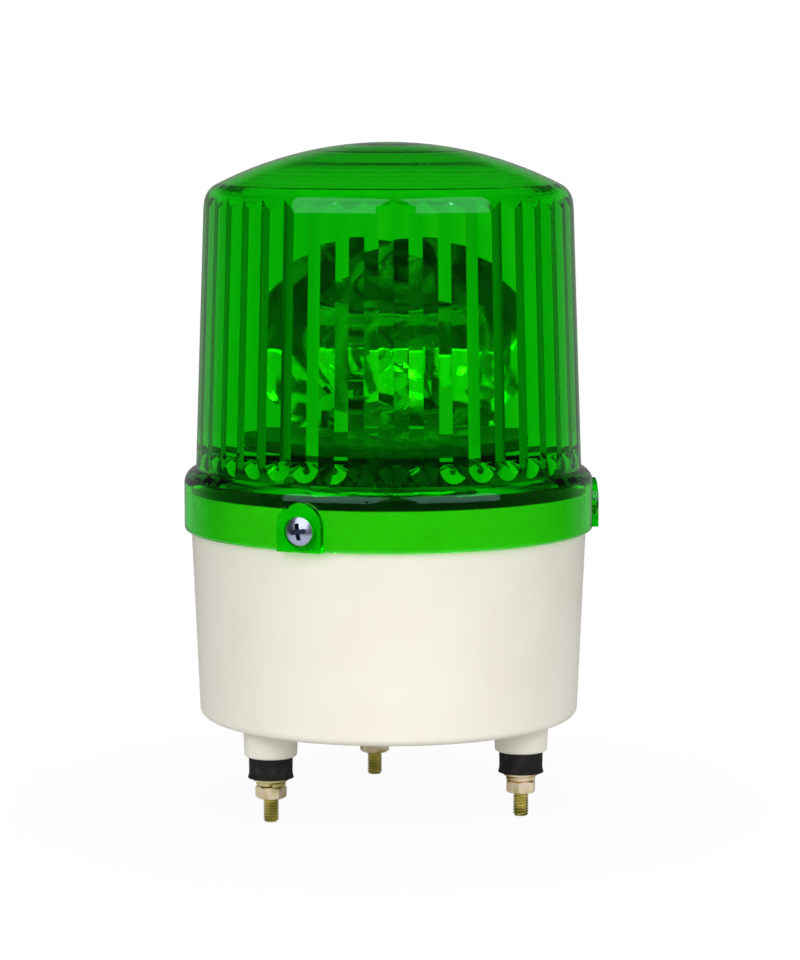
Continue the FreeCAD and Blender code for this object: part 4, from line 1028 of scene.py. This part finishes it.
# %% [markdown]
# ## The floor
#
# The beacon stands on a plain white table. Rays from the camera see it as plain white with a trace of the lit
# table near the feet, which is the soft shadow. Rays through glass see plain white where the table runs back
# to the white wall. All other rays, mirrors too, see the table as the lamps light it. A ray that a matt
# surface has scattered counts as none of these, so the white that is seen adds no light to the beacon.

# %% Floor
FLOOR_RADIUS = 0.32
FLOOR_STEPS = 96
TABLE_GREY = colour(0.66, 0.66, 0.66)
SHADOW_SHARE = 0.06
SHADOW_REACH = (0.045, 0.13)
TABLE_BACK = (0.05, 0.2)
WHITE = colour(1, 1, 1)


def sight_rays(tree):
    """Wires that are 1 for rays from the camera, through glass and off a mirror.

    The last two leave out rays that a matt surface has sent on.
    """
    camera_ray = tree.node("ShaderNodeLightPath", out="Is Camera Ray")
    seen = 1 - camera_ray.other("Diffuse Depth").between(low=0.0, high=1.0)
    glass_ray = camera_ray.other("Is Transmission Ray") * seen
    mirror_ray = camera_ray.other("Is Glossy Ray") * (seen - glass_ray)
    return {"camera": camera_ray, "glass": glass_ray, "mirror": mirror_ray}


def white_table():
    material, tree = new_finish("white_table")
    lit = principled(tree, Base_Color=TABLE_GREY, Roughness=0.8)
    plain = tree.node("ShaderNodeEmission", {}, {"Color": WHITE, "Strength": 1.0})
    place = place_on_beacon(tree)
    distance = tree.node("ShaderNodeVectorMath", {"operation": "LENGTH"}, {0: place}, out="Value")
    near = 1 - distance.between(*SHADOW_REACH)
    behind = tree.node("ShaderNodeSeparateXYZ", {}, {0: place}, out="Y").between(*TABLE_BACK)
    rays = sight_rays(tree)
    share = rays["camera"] * (1 - SHADOW_SHARE * near) + rays["glass"] * behind
    put_out(tree, tree.node("ShaderNodeMixShader", {}, {0: share, 1: lit, 2: plain}))
    return material


ground = bmesh.new()
bmesh.ops.create_circle(ground, cap_ends=True, segments=FLOOR_STEPS, radius=FLOOR_RADIUS)
floor = finished_piece("floor", ground, white_table())
print("floor", 2 * FLOOR_RADIUS, "m wide at the stud tips")

# %% [markdown]
# ## Studio lamps
#
# Two wide soft boxes stand left and right of the beacon, one lamp hangs above, and one lights the back. A
# soft box is not even: its lower edge is a bright strip, which draws the pale band near the top of the lens,
# and its bulb is a hot spot, which shows in the dish through the glass. The bulbs are hidden from glossy
# rays, as the cloth would hide them. So are the lamps above and behind, which would else show as bright
# patches, and the one behind is hidden from rays through glass as well.

# %% Lamps
AIM = Vector((0, 0, 0.1))
EDGE_HEIGHT = 0.1995
EDGE_WIDTH = 0.009
EDGE_ROLL = math.radians(0.64)
BULB_HEIGHT = 0.58
BULB_SIZE = (0.045, 0.12)


def soft_lamp(name, at, size, watts, roll=0.0, hidden_from=()):
    """A white area lamp that faces the beacon, rolled about its own axis and hidden from some rays."""
    lamp = bpy.data.lights.new(name, "AREA")
    lamp.shape = "RECTANGLE"
    lamp.size, lamp.size_y = size
    lamp.energy = watts
    stand = bpy.data.objects.new(name, lamp)
    stand.location = at
    facing = (AIM - Vector(at)).to_track_quat("-Z", "Y")
    stand.rotation_euler = (facing @ Quaternion((0, 0, 1), roll)).to_euler()
    for rays in hidden_from:
        setattr(stand, f"visible_{rays}", False)
    bpy.context.scene.collection.objects.link(stand)
    print(name, watts, "W")


soft_lamp("left_box", at=(-0.667, -0.794, 0.665), size=(1.17, 1.00), watts=6.5)
soft_lamp("right_box", at=(0.580, -0.860, 0.665), size=(1.05, 1.00), watts=5.8)
soft_lamp("left_edge", at=(-0.572, -0.681, EDGE_HEIGHT), size=(1.0, EDGE_WIDTH), watts=0.26, roll=EDGE_ROLL)
soft_lamp("right_edge", at=(0.497, -0.737, EDGE_HEIGHT), size=(0.9, EDGE_WIDTH), watts=0.23, roll=-EDGE_ROLL)
soft_lamp("left_bulb", at=(-0.630, -0.750, BULB_HEIGHT), size=BULB_SIZE, watts=1.9, hidden_from=["glossy"])
soft_lamp("right_bulb", at=(0.547, -0.812, BULB_HEIGHT), size=BULB_SIZE, watts=1.8, hidden_from=["glossy"])
soft_lamp("top_box", at=(0.0, -0.10, 0.95), size=(0.4, 0.4), watts=2.0, hidden_from=["glossy"])
soft_lamp(
    "back_box",
    at=(0.1, 0.95, 0.55),
    size=(0.8, 0.6),
    watts=4.0,
    hidden_from=["glossy", "transmission"],
)

# %% [markdown]
# ## The world
#
# The camera sees plain white all round. Rays through glass see white behind the beacon, a grey at its sides
# and the dark end of the studio where the camera stands: without something dark to reflect, the chromed dish
# would be a white disc. Rays off the outside of the lens and the metals see the wall behind dimmed and the
# rest of the room nearly dark, because at full white the edges of the lens fade into the background. All
# other rays get an even, weak ambient light.

# %% World
AMBIENT = 0.15
DARK_END = 0.07
SIDES = 0.65
MIRROR_LEVEL = 0.03
MIRROR_BEHIND = 0.25
FRONT_STEP = (-0.1, 0.7)
SIDE_STEP = (-0.75, -0.2)
BEHIND_STEP = (-0.8, -0.4)
WALL_HEIGHT = (0.15, 0.45)

world = bpy.data.worlds.new("studio")
bpy.context.scene.world = world
world.use_nodes = True
world.node_tree.nodes.clear()
sky = Wire(world.node_tree)
direction = sky.node("ShaderNodeTexCoord", out="Generated")
to_camera = {0: direction, 1: tuple(camera.location.normalized())}
facing = sky.node("ShaderNodeVectorMath", {"operation": "DOT_PRODUCT"}, to_camera, out="Value")
height = sky.node("ShaderNodeSeparateXYZ", {}, {0: direction}, out="Z")
front = facing.between(*FRONT_STEP)
beside = facing.between(*SIDE_STEP)
wall_behind = (1 - facing.between(*BEHIND_STEP)) * (1 - height.between(*WALL_HEIGHT))
mirror_level = MIRROR_LEVEL + (MIRROR_BEHIND - MIRROR_LEVEL) * wall_behind
glass_level = 1 - (1 - SIDES) * beside - (SIDES - DARK_END) * front
rays = sight_rays(sky)
unseen = 1 - rays["camera"] - rays["glass"] - rays["mirror"]
strength = rays["camera"] + rays["glass"] * glass_level + rays["mirror"] * mirror_level + unseen * AMBIENT
backdrop = sky.node("ShaderNodeBackground", {}, {"Color": WHITE, "Strength": strength})
sky.node("ShaderNodeOutputWorld", {}, {"Surface": backdrop})
print("world", world.name, "with", len(world.node_tree.nodes), "nodes, ambient", AMBIENT)

# %% [markdown]
# ## View and bounces
#
# The Standard view transform shows a colour about as it is written. A ray that enters the lens, meets the
# bulb, turns in the dish and leaves again crosses many surfaces, so the limits on bounces are raised.

# %% View and bounces
scene = bpy.context.scene
scene.view_settings.view_transform = "Standard"
scene.cycles.max_bounces = 24
scene.cycles.glossy_bounces = 12
scene.cycles.transmission_bounces = 20
print("view", scene.view_settings.view_transform, "with up to", scene.cycles.max_bounces, "bounces")

# %% [markdown]
